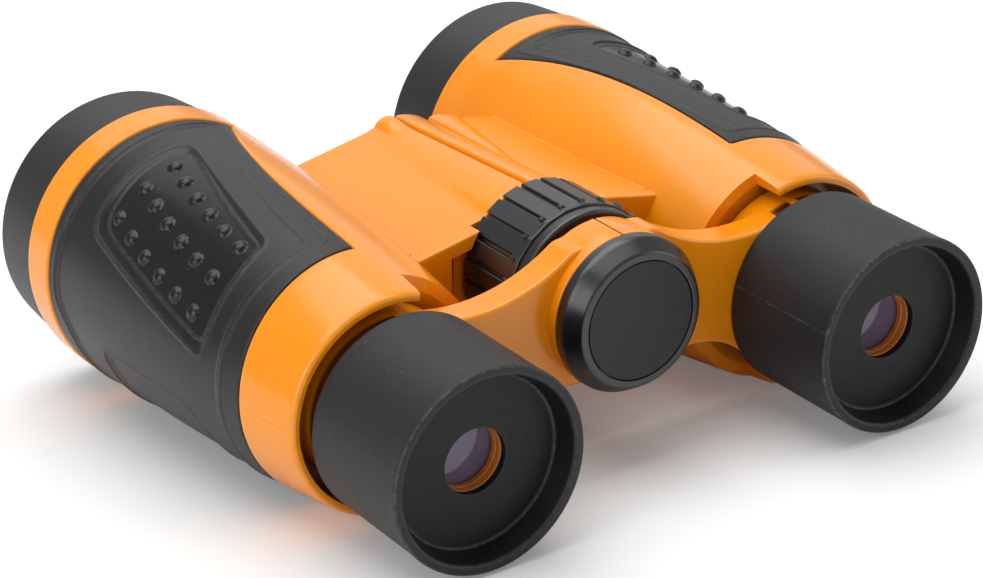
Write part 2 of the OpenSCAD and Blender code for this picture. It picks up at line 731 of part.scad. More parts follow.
// The bevelled cap on the hub
module hub_cap() {
    side_y = cap_front_y - cap_side;
    edge_r = cap_r - cap_bevel;
    web_y = washer_y;
    color(black) hinge_turn([[washer_r + fit_gap, cap_front_y], [cap_r, cap_front_y], [cap_r, side_y],
        [edge_r, cap_rear_y + disc_gap], [edge_r - disc_gap, cap_rear_y], [disc_r + disc_gap, cap_rear_y],
        [disc_r + disc_gap, disc_y], [screw_head_r + fit_gap, disc_y],
        [screw_head_r + fit_gap, screw_y], [screw_r + fit_gap, screw_y],
        [screw_r + fit_gap, web_y], [washer_r + fit_gap, web_y]]);
}

// The matte disc that hides the screw
module hub_cap_disc() {
    color(dark) hinge_rod(disc_r, cap_rear_y, disc_y - fit_gap);
}

// The screw that holds the cap on the spindle
module hub_screw() {
    color(metal) {
        hinge_rod(screw_head_r, screw_y - screw_head, screw_y - fit_gap);
        hinge_rod(screw_r, screw_y - screw_head / 2, screw_y + screw_len);
    }
}

left_body();
right_body();
left_grip();
right_grip();
left_objective_ring();
right_objective_ring();
left_objective_lens();
right_objective_lens();
left_lens_retainer();
right_lens_retainer();
left_eyepiece_arm();
right_eyepiece_arm();
left_eyecup();
right_eyecup();
left_eye_lens();
right_eye_lens();
left_eye_lens_ring();
right_eye_lens_ring();
hinge_tube();
hinge_plug();
focus_wheel();
drive_nut();
wheel_clip();
focus_spindle();
friction_washer();
hub_cap();
hub_cap_disc();
hub_screw();
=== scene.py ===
"""Toy binoculars in orange and black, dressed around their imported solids.

Lengths are in millimetres in the part's own frame (X to the right barrel, Y forward, Z up)
until a mesh is written, where they become metres. Every piece is worked out for the left
side, with the inner side of its barrel towards +X, and mirrored for the right.
"""

import logging
import math
from dataclasses import dataclass
from enum import Enum
from functools import cache
from typing import ClassVar, Sequence

import bmesh
import bpy
import numpy as np
from mathutils import Matrix, Vector
from numpy.typing import NDArray


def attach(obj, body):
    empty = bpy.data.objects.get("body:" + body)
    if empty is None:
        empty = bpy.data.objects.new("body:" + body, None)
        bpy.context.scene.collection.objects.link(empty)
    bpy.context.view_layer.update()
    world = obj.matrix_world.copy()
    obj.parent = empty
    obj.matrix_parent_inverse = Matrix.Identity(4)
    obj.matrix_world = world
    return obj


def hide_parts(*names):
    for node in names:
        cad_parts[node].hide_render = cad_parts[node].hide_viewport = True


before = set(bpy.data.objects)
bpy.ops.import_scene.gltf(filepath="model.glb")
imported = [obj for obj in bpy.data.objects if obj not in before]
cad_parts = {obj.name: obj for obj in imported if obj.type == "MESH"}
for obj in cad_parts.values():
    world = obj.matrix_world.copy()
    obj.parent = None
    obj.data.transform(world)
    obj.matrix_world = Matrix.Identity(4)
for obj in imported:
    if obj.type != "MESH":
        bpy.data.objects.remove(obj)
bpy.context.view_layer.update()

MM = 0.001
LOG = logging.getLogger("binoculars")
Grid = NDArray[np.float64]
Triple = tuple[float, float, float]
Triples = tuple[Triple, ...]
Pairs = tuple[tuple[float, float], ...]
Socket = bpy.types.NodeSocket

AXIS_X = 29.5
AXIS_Z = 17.9
HINGE_Z = 23.2
AXIS_DROP = HINGE_Z - AXIS_Z
SEAM = 0.15
FOLD_WEDGE = math.radians(18.5)
QUARTER_TURN = math.pi / 2.0
FULL_TURN = math.pi * 2.0
TINY = 1e-6


class Side(Enum):
    """Which half of the binoculars a piece belongs to; the value mirrors its X."""

    LEFT = 1.0
    RIGHT = -1.0

    @property
    def word(self) -> str:
        """The side's name as it stands in node and body names."""
        return self.name.lower()

    @property
    def half(self) -> str:
        """The body that the side's barrel rides on."""
        return f"{self.word}_half"

    @property
    def eyepiece(self) -> str:
        """The body that the side's eyepiece rides on."""
        return f"{self.word}_eyepiece"


class Turn(Enum):
    """The axis that a turned piece is centred on, as (x, z)."""

    BARREL = (-AXIS_X, AXIS_Z)
    HINGE = (0.0, HINGE_Z)

    def at(self, angle: Grid, y: Grid, radius: Grid) -> Grid:
        """Points at these angles, places and radii: the axis plus the radius times (cos, sin)."""
        across, up = radius * np.cos(angle), radius * np.sin(angle)
        return np.stack(np.broadcast_arrays(self.value[0] + across, y, self.value[1] + up), axis=-1)


# Numpy helpers


def soft_step(value: Grid) -> Grid:
    """Ease from 0 to 1: three times the square less twice the cube of the clipped value."""
    t = np.clip(value, 0.0, 1.0)
    return t * t * (3.0 - 2.0 * t)


def soft_max(a: Grid, b: Grid, width: float) -> Grid:
    """The larger of two heights, with a parabola of the given width where they cross."""
    h = np.clip(0.5 + 0.5 * (a - b) / width, 0.0, 1.0)
    return b + (a - b) * h + width * h * (1.0 - h)


def quarter_round(distance: Grid, radius: float) -> Grid:
    """Drop of a quarter circle at a distance from an edge: the radius at the edge, none beyond it."""
    near = 1.0 - np.clip(distance / radius, 0.0, 1.0)
    return radius * (1.0 - np.sqrt(1.0 - near * near))


def quarter(steps: int) -> tuple[Grid, Grid]:
    """One less the sine and one less the cosine over a quarter turn: a unit rounding's two drops."""
    angle = np.linspace(0.0, QUARTER_TURN, steps)
    return 1.0 - np.sin(angle), 1.0 - np.cos(angle)


def table(*blocks: Sequence[object]) -> Grid:
    """Join blocks of columns, each column a number or numbers spread to the block's length."""
    columns = [[np.atleast_1d(np.asarray(part, float)) for part in block] for block in blocks]
    return np.concatenate([np.stack(np.broadcast_arrays(*block)) for block in columns], axis=1)


def rounded_run(start: float, end: float, radius: float, steps: int,
                middle: Sequence[float]) -> tuple[Grid, Grid]:
    """Places along Y with rounded ends, and how far the section is drawn in at each.

    Args:
        start: Rear end.
        end: Front end.
        radius: Radius of the rounding.
        steps: Places on each rounding.
        middle: Places between the roundings.

    Returns:
        The places and the depths.
    """
    run, draw = quarter(steps)
    places = np.concatenate([start + radius * run[::-1], middle, end - radius * run])
    return places, radius * np.concatenate([draw[::-1], np.zeros(len(middle)), draw])


def inset(section: Grid, depth: Grid) -> Grid:
    """Draw closed sections in along their normals.

    Args:
        section: Sections by points by two coordinates, each with its first point repeated last.
        depth: How far each section is drawn in.

    Returns:
        The smaller sections.
    """
    ring = section[:, :-1]
    after = np.roll(ring, -1, axis=1)
    way = after - np.roll(ring, 1, axis=1)
    way = way / np.maximum(np.linalg.norm(way, axis=2, keepdims=True), TINY)
    twice_area = (ring[..., 0] * after[..., 1] - after[..., 0] * ring[..., 1]).sum(1)
    inward = np.stack([-way[..., 1], way[..., 0]], axis=-1) * np.sign(twice_area)[:, None, None]
    small = ring + inward * depth[:, None, None]
    return np.concatenate([small, small[:, :1]], axis=1)


def outline_depth(a: Grid, b: Grid, corners: Grid) -> Grid:
    """Distance to a closed outline, positive inside it.

    The nearest point of each side is found by projecting onto it, and a point lies
    inside when a ray from it crosses an odd number of sides.

    Args:
        a: First coordinate of the points.
        b: Second coordinate of the points.
        corners: The outline's corners, one row each.

    Returns:
        The signed distance of each point.
    """
    side = np.roll(corners, -1, axis=0) - corners
    da = a[..., None] - corners[:, 0]
    db = b[..., None] - corners[:, 1]
    along = (da * side[:, 0] + db * side[:, 1]) / np.maximum((side**2).sum(1), TINY**2)
    along = np.clip(along, 0.0, 1.0)
    gap = np.sqrt((da - along * side[:, 0]) ** 2 + (db - along * side[:, 1]) ** 2).min(-1)
    spans = (db < 0.0) != (db - side[:, 1] < 0.0)
    with np.errstate(divide="ignore", invalid="ignore"):
        crosses = spans & (da < side[:, 0] * db / side[:, 1])
    inside = crosses.sum(-1) % 2 == 1
    return np.where(inside, gap, -gap)


@dataclass
class Profile:
    """Points of an outline in its plane, with a weight for each: wear above 0, painted shade below 0."""

    points: Grid
    edge: Grid
    side_share: ClassVar[float] = 0.45

    @classmethod
    def rounded(cls, corners: Sequence[Triple] | Grid, closed: bool = True, steps: int = 6,
                support: float = 0.15, wear: Sequence[float] = (1.0,)) -> "Profile":
        """Round the corners of an outline.

        Each corner becomes a parabola that leaves one side and meets the other at the corner's
        setback, which is held to a share of the shorter side, with a support point just outside
        it on either side.

        Args:
            corners: Rows of two coordinates and a setback.
            closed: Whether the last corner leads back to the first.
            steps: Points on each rounded corner.
            support: Distance of the support points from the rounding.
            wear: Wear weight of each corner, or one for all.

        Returns:
            The rounded outline; a closed one repeats its first point at the end.
        """
        rows = np.array(corners, float)
        at = rows[:, :2]
        sides = [np.roll(at, 1, axis=0) - at, np.roll(at, -1, axis=0) - at]
        if not closed:
            sides[0][0] = 0.0
            sides[1][-1] = 0.0
        lengths = [np.linalg.norm(side, axis=1) for side in sides]
        ways = [side / np.maximum(length, TINY)[:, None] for side, length in zip(sides, lengths)]
        cut = np.minimum(rows[:, 2], cls.side_share * np.minimum(*lengths))
        start, end = (at + way * cut[:, None] for way in ways)
        t = np.linspace(0.0, 1.0, steps)[None, :, None]
        curve = (1 - t) ** 2 * start[:, None] + 2 * t * (1 - t) * at[:, None] + t**2 * end[:, None]
        spare = [np.minimum(support, 0.5 * (length / 2.0 - cut).clip(0.0))[:, None] for length in lengths]
        lead = start + ways[0] * spare[0]
        trail = end + ways[1] * spare[1]
        points = np.concatenate([lead[:, None], curve, trail[:, None]], axis=1).reshape(-1, 2)
        bow = np.concatenate([[0.0], np.sin(np.linspace(0.0, math.pi, steps)), [0.0]])
        worn = np.broadcast_to(np.array(wear, float), cut.shape) * (cut > 0.0)
        edge = (bow[None, :] * worn[:, None]).reshape(-1)
        if closed:
            points = np.concatenate([points, points[:1]])
            edge = np.concatenate([edge, edge[:1]])
        return cls(points, edge)

    @classmethod
    def lens(cls, radius: Grid, bulge: Grid, rim_r: float, rear_y: float, front_y: float) -> "Profile":
        """Outline of a lens: two like faces from the axis out, a flat and a bevelled rim.

        Args:
            radius: Radii on the faces, from the axis to their edge.
            bulge: How far the faces stand out at each radius.
            rim_r: Radius of the rim.
            rear_y: Y of the rear face's edge.
            front_y: Y of the front face's edge.

        Returns:
            The outline, from the middle of the rear face to the middle of the front one.
        """
        bevel = 0.1
        r = np.concatenate([radius, [radius[-1] + bevel, rim_r - bevel, rim_r, rim_r]])
        rim_in = np.array([0.0, 0.0, bevel, 4.0 * bevel])
        rear = np.concatenate([rear_y - bulge, rear_y + rim_in])
        front = np.concatenate([front_y + bulge, front_y - rim_in])
        points = np.stack([np.concatenate([r, r[::-1]]), np.concatenate([rear, front[::-1]])], axis=1)
        return cls(points, np.zeros(len(points)))


@dataclass
class Patch:
    """A grid of points in rows and columns, with a weight for each: wear above 0, painted shade below 0."""

    points: Grid
    edge: Grid
    line_half: ClassVar[float] = math.radians(0.6)
    line_reach: ClassVar[float] = 0.15
    line_lightening: ClassVar[float] = 0.9

    @classmethod
    def turned(cls, profile: Profile, turn: Turn, steps: int, line: float | None = None,
               line_rise: float = 0.0) -> "Patch":
        """Carry a profile of (radius, y) around an axis along Y.

        Args:
            profile: The profile to turn.
            turn: The axis.
            steps: Steps in a full turn.
            line: Angle of a parting line in degrees, if there is one.
            line_rise: How far the parting line stands out where the profile is widest.

        Returns:
            The grid, with its first column repeated at the end.
        """
        around = np.linspace(0.0, FULL_TURN, steps + 1)
        radius = profile.points[:, :1]
        on_line = np.zeros((len(radius), len(around)), dtype=bool)
        if line is not None:
            middle = math.radians(line)
            beside = middle + np.array([-1.0, 0.0, 1.0]) * cls.line_half
            around = np.sort(np.append(around, beside))
            on_line = (radius > radius.max() - cls.line_reach) & np.isclose(around, middle)
        points = turn.at(around, profile.points[:, 1:], radius + line_rise * on_line)
        # The parting line is painted lighter along its length.
        return cls(points, np.where(on_line, cls.line_lightening, profile.edge[:, None]))

    @classmethod
    def stacked(cls, sections: Grid, places: Grid, edge: Grid) -> "Patch":
        """Stand sections of (distance from the seam, height above the hinge) along Y.

        Args:
            sections: Grid of sections by points by two coordinates.
            places: Y of each section.
            edge: Wear weight of each point, or of each section.

        Returns:
            The grid of points, left of the hinge.
        """
        t, height = sections[..., 0], sections[..., 1]
        points = np.stack(np.broadcast_arrays(-t, places[:, None], HINGE_Z + height), axis=-1)
        return cls(points, np.broadcast_to(edge, t.shape))


class Shell:
    """A closed surface gathered from patches, written as one mesh object."""

    sharp_angle = math.radians(38.0)
    weld_places = 4

    def __init__(self, name: str, *patches: Patch) -> None:
        """Start a shell under a piece's name."""
        self.name = name
        self.patches = list(patches)

    def close_ends(self, patch: Patch) -> "Shell":
        """Add a patch of closed loops with its first and last loop filled.

        Each end is a strip between the two halves of its loop, which run side by side.

        Args:
            patch: Loops of an even count of points, each with its first point repeated last.

        Returns:
            The shell.
        """
        half = (patch.points.shape[1] - 1) // 2
        for loop in (patch.points[0], patch.points[-1]):
            strip = np.stack([loop[:half], loop[half:2 * half][::-1]])
            self.patches.append(Patch(strip, np.zeros((2, half))))
        self.patches.append(patch)
        return self

    def _welded(self, side: Side) -> tuple[Grid, Grid, NDArray[np.int64], NDArray[np.int64]]:
        """Join the patches' points and faces.

        Points that agree to a tenth of a micrometre become one, and faces lose the corners
        that fall together, so poles, seams and collapsed rows close by themselves.

        Args:
            side: The half to place the piece on.

        Returns:
            The points, their wear weights, the faces' corners in a row and each face's corner count.
        """
        quads = []
        offset = 0
        for patch in self.patches:
            index = np.arange(patch.edge.size).reshape(patch.edge.shape) + offset
            quad = np.stack([index[:-1, :-1], index[1:, :-1], index[1:, 1:], index[:-1, 1:]], axis=-1)
            quads.append(quad.reshape(-1, 4))
            offset += patch.edge.size
        points = np.concatenate([patch.points.reshape(-1, 3) for patch in self.patches])
        points = points * np.array([side.value, 1.0, 1.0])
        edge = np.concatenate([patch.edge.reshape(-1) for patch in self.patches])
        keys = np.round(points, self.weld_places) + 0.0
        _, first, merged = np.unique(keys, axis=0, return_index=True, return_inverse=True)
        wear = np.full(len(first), -1.0)
        np.maximum.at(wear, merged.reshape(-1), edge)
        corners = merged.reshape(-1)[np.concatenate(quads)]
        kept = corners != np.roll(corners, -1, axis=1)
        whole = kept.sum(1) >= 3
        return points[first], wear, corners[whole][kept[whole]], kept[whole].sum(1)

    def mesh_object(self, side: Side) -> bpy.types.Object:
        """Write the welded surface as a mesh with its faces turned outwards.

        Args:
            side: The half to place the piece on.

        Returns:
            The new object, at the origin.
        """
        points, wear, loop, count = self._welded(side)
        mesh = bpy.data.meshes.new(self.name)
        mesh.vertices.add(len(points))
        mesh.vertices.foreach_set("co", (points * MM).astype(np.float32).ravel())
        mesh.loops.add(len(loop))
        mesh.loops.foreach_set("vertex_index", loop.astype(np.int32))
        mesh.polygons.add(len(count))
        mesh.polygons.foreach_set("loop_start", (np.cumsum(count) - count).astype(np.int32))
        mesh.update(calc_edges=True)
        mesh.validate()
        self._turn_out(mesh)
        # The edge attribute carries wear above 0 and painted shade below 0.
        layer = mesh.attributes.new("edge", "FLOAT", "POINT")
        layer.data.foreach_set("value", wear.astype(np.float32))
        mesh.polygons.foreach_set("use_smooth", np.ones(len(mesh.polygons), dtype=bool))
        mesh.set_sharp_from_angle(angle=self.sharp_angle)
        made = bpy.data.objects.new(self.name, mesh)
        bpy.context.scene.collection.objects.link(made)
        return made

    @staticmethod
    def _turn_out(mesh: bpy.types.Mesh) -> None:
        """Turn the faces of a closed mesh outwards, by its signed volume.

        Args:
            mesh: The mesh, which is written over.
        """
        work = bmesh.new()
        work.from_mesh(mesh)
        bmesh.ops.recalc_face_normals(work, faces=work.faces[:])
        if work.calc_volume(signed=True) < 0.0:
            bmesh.ops.reverse_faces(work, faces=work.faces[:])
        work.to_mesh(mesh)
        work.free()


# Finishes


def linear(colour: Triple) -> tuple[float, float, float, float]:
    """A screen colour of 0 to 255 as linear light with full alpha."""
    share = np.array([*colour, 255.0]) / 255.0
    return tuple(np.where(share <= 0.04045, share / 12.92, ((share + 0.055) / 1.055) ** 2.4).tolist())


class Sheet:
    """A node tree being written, with short calls to add and join nodes."""

    def __init__(self, tree: bpy.types.NodeTree) -> None:
        """Keep the tree to write on."""
        self.tree = tree

    def add(self, kind: str, **settings: object) -> bpy.types.Node:
        """Add a node.

        Args:
            kind: The node's type name, without its ShaderNode prefix.
            settings: Attributes of the node to set.

        Returns:
            The new node.
        """
        prefix = "" if kind.startswith("NodeGroup") else "ShaderNode"
        node = self.tree.nodes.new(prefix + kind)
        for name, value in settings.items():
            setattr(node, name, value)
        return node

    def put(self, value: object, slot: Socket) -> None:
        """Feed an input, by a link or with a constant.

        Args:
            value: A socket to link from, or a constant.
            slot: The input.
        """
        if isinstance(value, Socket):
            self.tree.links.new(value, slot)
        else:
            slot.default_value = value

    def place(self) -> Socket:
        """The point's place in its object."""
        return self.add("TexCoord").outputs["Object"]

    def math(self, operation: str, *values: object, clamp: bool = False) -> Socket:
        """Add a Math node.

        Args:
            operation: The operation's name.
            values: Its operands, sockets or numbers.
            clamp: Whether the result is held between 0 and 1.

        Returns:
            The node's result.
        """
        node = self.add("Math", operation=operation, use_clamp=clamp)
        for slot, value in zip(node.inputs, values):
            self.put(value, slot)
        return node.outputs[0]

    def blend(self, share: Socket, first: object, second: object) -> Socket:
        """Mix two colours.

        Args:
            share: Share of the second colour.
            first: First colour, a socket or a value.
            second: Second colour, a socket or a value.

        Returns:
            The mixed colour.
        """
        node = self.add("Mix", data_type="RGBA")
        for slot, value in ((0, share), (6, first), (7, second)):
            self.put(value, node.inputs[slot])
        return node.outputs[2]

    def noise(self, vector: Socket, scale: object, detail: float = 2.0,
              roughness: float = 0.5) -> Socket:
        """Add noise.

        Args:
            vector: Where the noise is read.
            scale: Scale of the noise, a socket or a number.
            detail: Octaves of the noise.
            roughness: Weight of the finer octaves.

        Returns:
            The noise value.
        """
        node = self.add("TexNoise")
        given = {"Vector": vector, "Scale": scale, "Detail": detail, "Roughness": roughness}
        for name, value in given.items():
            self.put(value, node.inputs[name])
        return node.outputs[0]

    def bump(self, height: Socket, depth_mm: float) -> Socket:
        """Add a bump of a given depth.

        Args:
            height: Height of the surface.
            depth_mm: Depth of the bump in millimetres.

        Returns:
            The bent normal.
        """
        node = self.add("Bump")
        for name, value in {"Strength": 1.0, "Distance": depth_mm * MM, "Height": height}.items():
            self.put(value, node.inputs[name])
        return node.outputs["Normal"]


class Effect:
    """Shader effects shared by the finishes, each a node group that is built once."""

    @staticmethod
    def _start(name: str, inputs: dict[str, str], outputs: dict[str, str]
               ) -> tuple[Sheet, bpy.types.NodeOutputs, bpy.types.NodeInputs]:
        """Open a new group with named sockets.

        Args:
            name: The group's name.
            inputs: Input names with their short types.
            outputs: Output names with their short types.

        Returns:
            The sheet to write on, the given values and the slots for the results.
        """
        tree = bpy.data.node_groups.new(name, "ShaderNodeTree")
        for names, way in ((inputs, "INPUT"), (outputs, "OUTPUT")):
            for label, kind in names.items():
                tree.interface.new_socket(label, in_out=way, socket_type=f"NodeSocket{kind}")
        sheet = Sheet(tree)
        return sheet, sheet.add("NodeGroupInput").outputs, sheet.add("NodeGroupOutput").inputs

    @staticmethod
    @cache
    def mould_grain() -> bpy.types.NodeTree:
        """Skin of a moulded piece: fine erosion grain and a slow ripple, as a height and a fleck mask.

        Returns:
            The node group.
        """
        sheet, given, out = Effect._start(
            "mould_grain", {"Grain Scale": "Float", "Ripple Scale": "Float", "Ripple Share": "Float"},
            {"Height": "Float", "Fleck": "Float"})
        place = sheet.place()
        grain = sheet.noise(place, given["Grain Scale"], 3.0, 0.6)
        ripple = sheet.noise(place, given["Ripple Scale"], 1.0)
        sheet.put(sheet.math("MULTIPLY_ADD", ripple, given["Ripple Share"], grain), out["Height"])
        sheet.put(sheet.math("MULTIPLY_ADD", grain, 4.0, -1.9, clamp=True), out["Fleck"])
        return sheet.tree

    @staticmethod
    @cache
    def tone_drift() -> bpy.types.NodeTree:
        """Slow change between two tones of one colour over the surface.

        Returns:
            The node group.
        """
        sheet, given, out = Effect._start(
            "tone_drift", {"Tone": "Color", "Other Tone": "Color", "Patch Scale": "Float"},
            {"Colour": "Color"})
        drift = sheet.noise(sheet.place(), given["Patch Scale"], 4.0, 0.55)
        share = sheet.math("MULTIPLY_ADD", drift, 2.2, -0.6, clamp=True)
        sheet.put(sheet.blend(share, given["Tone"], given["Other Tone"]), out["Colour"])
        return sheet.tree

    @staticmethod
    @cache
    def edge_wear() -> bpy.types.NodeTree:
        """Rubbed edges where the piece's edge weight is above 0, and painted shade where it is below.

        Returns:
            The node group.
        """
        sheet, given, out = Effect._start(
            "edge_wear", {"Amount": "Float", "Breakup Scale": "Float"},
            {"Mask": "Float", "Shelter": "Float"})
        weight = sheet.add("Attribute", attribute_name="edge").outputs["Fac"]
        broken = sheet.noise(sheet.place(), given["Breakup Scale"], 4.0, 0.65)
        shown = sheet.math("MULTIPLY", weight, sheet.math("MULTIPLY_ADD", broken, 3.0, -1.2, clamp=True))
        sheet.put(sheet.math("MULTIPLY", shown, given["Amount"], clamp=True), out["Mask"])
        # Painted shade: a negative edge weight becomes the share of the painted shade colour.
        sheet.put(sheet.math("MULTIPLY", weight, -1.0, clamp=True), out["Shelter"])
        return sheet.tree

    @staticmethod
    @cache
    def dust() -> bpy.types.NodeTree:
        """Sparse specks of dust, thicker on faces that look up.

        Returns:
            The node group.
        """
        sheet, given, out = Effect._start(
            "dust", {"Speck Scale": "Float", "Amount": "Float"}, {"Mask": "Float"})
        specks = sheet.noise(sheet.place(), given["Speck Scale"], 1.0)
        spots = sheet.math("MULTIPLY_ADD", specks, 9.0, -6.6, clamp=True)
        normal = sheet.add("SeparateXYZ")
        sheet.put(sheet.add("NewGeometry").outputs["Normal"], normal.inputs[0])
        up = sheet.math("MULTIPLY_ADD", normal.outputs["Z"], 0.5, 0.5, clamp=True)
        settled = sheet.math("MULTIPLY", spots, up)
        sheet.put(sheet.math("MULTIPLY", settled, given["Amount"], clamp=True), out["Mask"])
        return sheet.tree

    @staticmethod
    def use(sheet: Sheet, tree: bpy.types.NodeTree, **values: object) -> bpy.types.NodeOutputs:
        """Put a group into a material with its own values.

        Args:
            sheet: The material's sheet.
            tree: The group.
            values: Values for inputs, with spaces in their names as underscores.

        Returns:
            The group's outputs.
        """
        node = sheet.add("Group", node_tree=tree)
        for name, value in values.items():
            sheet.put(value, node.inputs[name.replace("_", " ")])
        return node.outputs


@dataclass(frozen=True)
class Finish:
    """A named look on one of the record's material slots."""

    name: str
    slot: str

    def material(self) -> bpy.types.Material:
        """The finish as a material, made once under its name.

        Returns:
            The material.
        """
        if self.name not in bpy.data.materials:
            made = bpy.data.materials.new(self.name)
            made.use_nodes = True
            self.dress(Sheet(made.node_tree), made.node_tree.nodes["Principled BSDF"].inputs)
        return bpy.data.materials[self.name]

    def dress(self, sheet: Sheet, skin: bpy.types.NodeInputs) -> None:
        """Write the finish's nodes; every kind of finish has its own."""
        raise NotImplementedError


@dataclass(frozen=True)
class MouldedFinish(Finish):
    """A moulded plastic or rubber: two tones, grain, rubbed edges, painted shade in recesses and gaps, and a
    little dust.
    """

    tone: Triple
    other_tone: Triple
    worn: Triple
    painted_shade_colour: Triple
    roughness: float
    polish: float = 0.0
    rough_swing: float = 0.06
    specular: float = 0.5
    coat: float = 0.0
    coat_roughness: float = 0.12
    grain_mm: float = 0.3
    grain_depth_mm: float = 0.012
    ripple_mm: float = 6.0
    ripple_share: float = 0.0
    patch_mm: float = 22.0
    wear: float = 0.4
    wear_scale: float = 1400.0
    dust: float = 0.25
    dust_scale: float = 2600.0
    dust_tone: Triple = (196, 192, 186)
    dust_roughness: float = 0.3

    def dress(self, sheet: Sheet, skin: bpy.types.NodeInputs) -> None:
        """Write the finish's nodes.

        Args:
            sheet: The material's sheet.
            skin: The inputs of its Principled node.
        """
        tones = Effect.use(sheet, Effect.tone_drift(), Tone=linear(self.tone),
                           Other_Tone=linear(self.other_tone), Patch_Scale=1.0 / (self.patch_mm * MM))
        grain = Effect.use(sheet, Effect.mould_grain(), Grain_Scale=1.0 / (self.grain_mm * MM),
                           Ripple_Scale=1.0 / (self.ripple_mm * MM), Ripple_Share=self.ripple_share)
        wear = Effect.use(sheet, Effect.edge_wear(), Amount=self.wear, Breakup_Scale=self.wear_scale)
        dust = Effect.use(sheet, Effect.dust(), Speck_Scale=self.dust_scale, Amount=self.dust)
        # Painted shade: where the edge weight is below 0 the tone turns towards the painted shade colour.
        tone = sheet.blend(wear["Shelter"], tones["Colour"], linear(self.painted_shade_colour))
        tone = sheet.blend(wear["Mask"], tone, linear(self.worn))
        sheet.put(sheet.blend(dust["Mask"], tone, linear(self.dust_tone)), skin["Base Color"])
        rough = sheet.math("MULTIPLY_ADD", grain["Fleck"], self.rough_swing, self.roughness)
        rough = sheet.math("MULTIPLY_ADD", wear["Shelter"], -self.polish, rough)
        rough = sheet.math("MULTIPLY_ADD", dust["Mask"], self.dust_roughness, rough, clamp=True)
        sheet.put(rough, skin["Roughness"])
        sheet.put(sheet.bump(grain["Height"], self.grain_depth_mm), skin["Normal"])
        skin["Specular IOR Level"].default_value = self.specular
        skin["Coat Weight"].default_value = self.coat
        skin["Coat Roughness"].default_value = self.coat_roughness


@dataclass(frozen=True)
class MetalFinish(Finish):
    """A turned metal: fine lines around the hinge axis and slow tarnish."""

    tone: Triple
    tarnish: Triple
    roughness: float
    rough_swing: float = 0.2
    tarnish_scale: float = 400.0
    line_mm: float = 0.12
    line_depth_mm: float = 0.004
    line_stretch: Triple = (0.04, 1.0, 0.04)

    def dress(self, sheet: Sheet, skin: bpy.types.NodeInputs) -> None:
        """Write the finish's nodes.

        Args:
            sheet: The material's sheet.
            skin: The inputs of its Principled node.
        """
        tones = Effect.use(sheet, Effect.tone_drift(), Tone=linear(self.tone),
                           Other_Tone=linear(self.tarnish), Patch_Scale=self.tarnish_scale)
        sheet.put(tones["Colour"], skin["Base Color"])
        stretch = sheet.add("Mapping")
        stretch.inputs["Scale"].default_value = self.line_stretch
        sheet.put(sheet.place(), stretch.inputs["Vector"])
        lines = sheet.noise(stretch.outputs[0], 1.0 / (self.line_mm * MM), 3.0, 0.6)
        sheet.put(sheet.math("MULTIPLY_ADD", lines, self.rough_swing, self.roughness), skin["Roughness"])
        sheet.put(sheet.bump(lines, self.line_depth_mm), skin["Normal"])
        skin["Metallic"].default_value = 1.0


@dataclass(frozen=True)
class GlassFinish(Finish):
    """A coated lens: glass with a tint, a soft bloom and a few specks of dust."""

    tint: Triple
    bloom: Triple
    clear: float
    bloom_scale: float = 140.0
    roughness: float = 0.03
    dust: float = 0.5
    dust_scale: float = 2200.0
    dust_roughness: float = 0.4
    coat: float = 0.6
    coat_tint: Triple = (196, 178, 226)
    index: float = 1.5

    def dress(self, sheet: Sheet, skin: bpy.types.NodeInputs) -> None:
        """Write the finish's nodes.

        Args:
            sheet: The material's sheet.
            skin: The inputs of its Principled node.
        """
        tones = Effect.use(sheet, Effect.tone_drift(), Tone=linear(self.tint),
                           Other_Tone=linear(self.bloom), Patch_Scale=self.bloom_scale)
        sheet.put(tones["Colour"], skin["Base Color"])
        dust = Effect.use(sheet, Effect.dust(), Speck_Scale=self.dust_scale, Amount=self.dust)
        rough = sheet.math("MULTIPLY_ADD", dust["Mask"], self.dust_roughness, self.roughness)
        sheet.put(rough, skin["Roughness"])
        skin["Transmission Weight"].default_value = self.clear
        skin["IOR"].default_value = self.index
        skin["Coat Weight"].default_value = self.coat
        skin["Coat Tint"].default_value = linear(self.coat_tint)
        skin["Coat Roughness"].default_value = self.roughness


# Each moulded finish gives its tone, other tone, worn colour and then its painted shade colour for recesses,
# gaps and bores.
ORANGE = MouldedFinish(
    "glossy_orange", "orange_plastic", (252, 152, 8), (248, 146, 6), (255, 186, 92), (78, 34, 3),
    roughness=0.19, rough_swing=0.04, coat=0.12, grain_mm=0.5, grain_depth_mm=0.003, ripple_mm=7.0,
    ripple_share=6.0, wear=0.35, dust=0.06)
RUBBER = MouldedFinish(
    "soft_grip_rubber", "grip_rubber", (30, 30, 32), (25, 25, 27), (92, 92, 95), (17, 17, 18),
    roughness=0.4, polish=0.22, rough_swing=0.1, specular=0.44, grain_mm=0.28, ripple_mm=5.0,
    ripple_share=2.0, wear=0.6)
DARK = MouldedFinish(
    "dark_matte_plastic", "dark_plastic", (34, 34, 37), (29, 29, 32), (84, 84, 87), (18, 18, 20),
    roughness=0.46, rough_swing=0.1, grain_mm=0.26, dust=0.2)
CUP = MouldedFinish(
    "eyecup_matte", "eyecup_plastic", (36, 36, 39), (31, 31, 34), (126, 126, 128), (9, 9, 10),
    roughness=0.48, rough_swing=0.12, specular=0.4, grain_depth_mm=0.016, wear=0.6)
BLACK = MouldedFinish(
    "glossy_black", "black_plastic", (16, 16, 18), (13, 13, 15), (66, 66, 69), (12, 12, 13),
    roughness=0.28, specular=0.95, grain_depth_mm=0.005, wear=0.35, dust=0.2)
AMBER = MouldedFinish(
    "amber_ring", "orange_plastic", (222, 128, 14), (206, 112, 8), (255, 196, 110), (120, 62, 4),
    roughness=0.2, coat=0.4, grain_mm=0.4, grain_depth_mm=0.004, wear=0.3, dust=0.0)
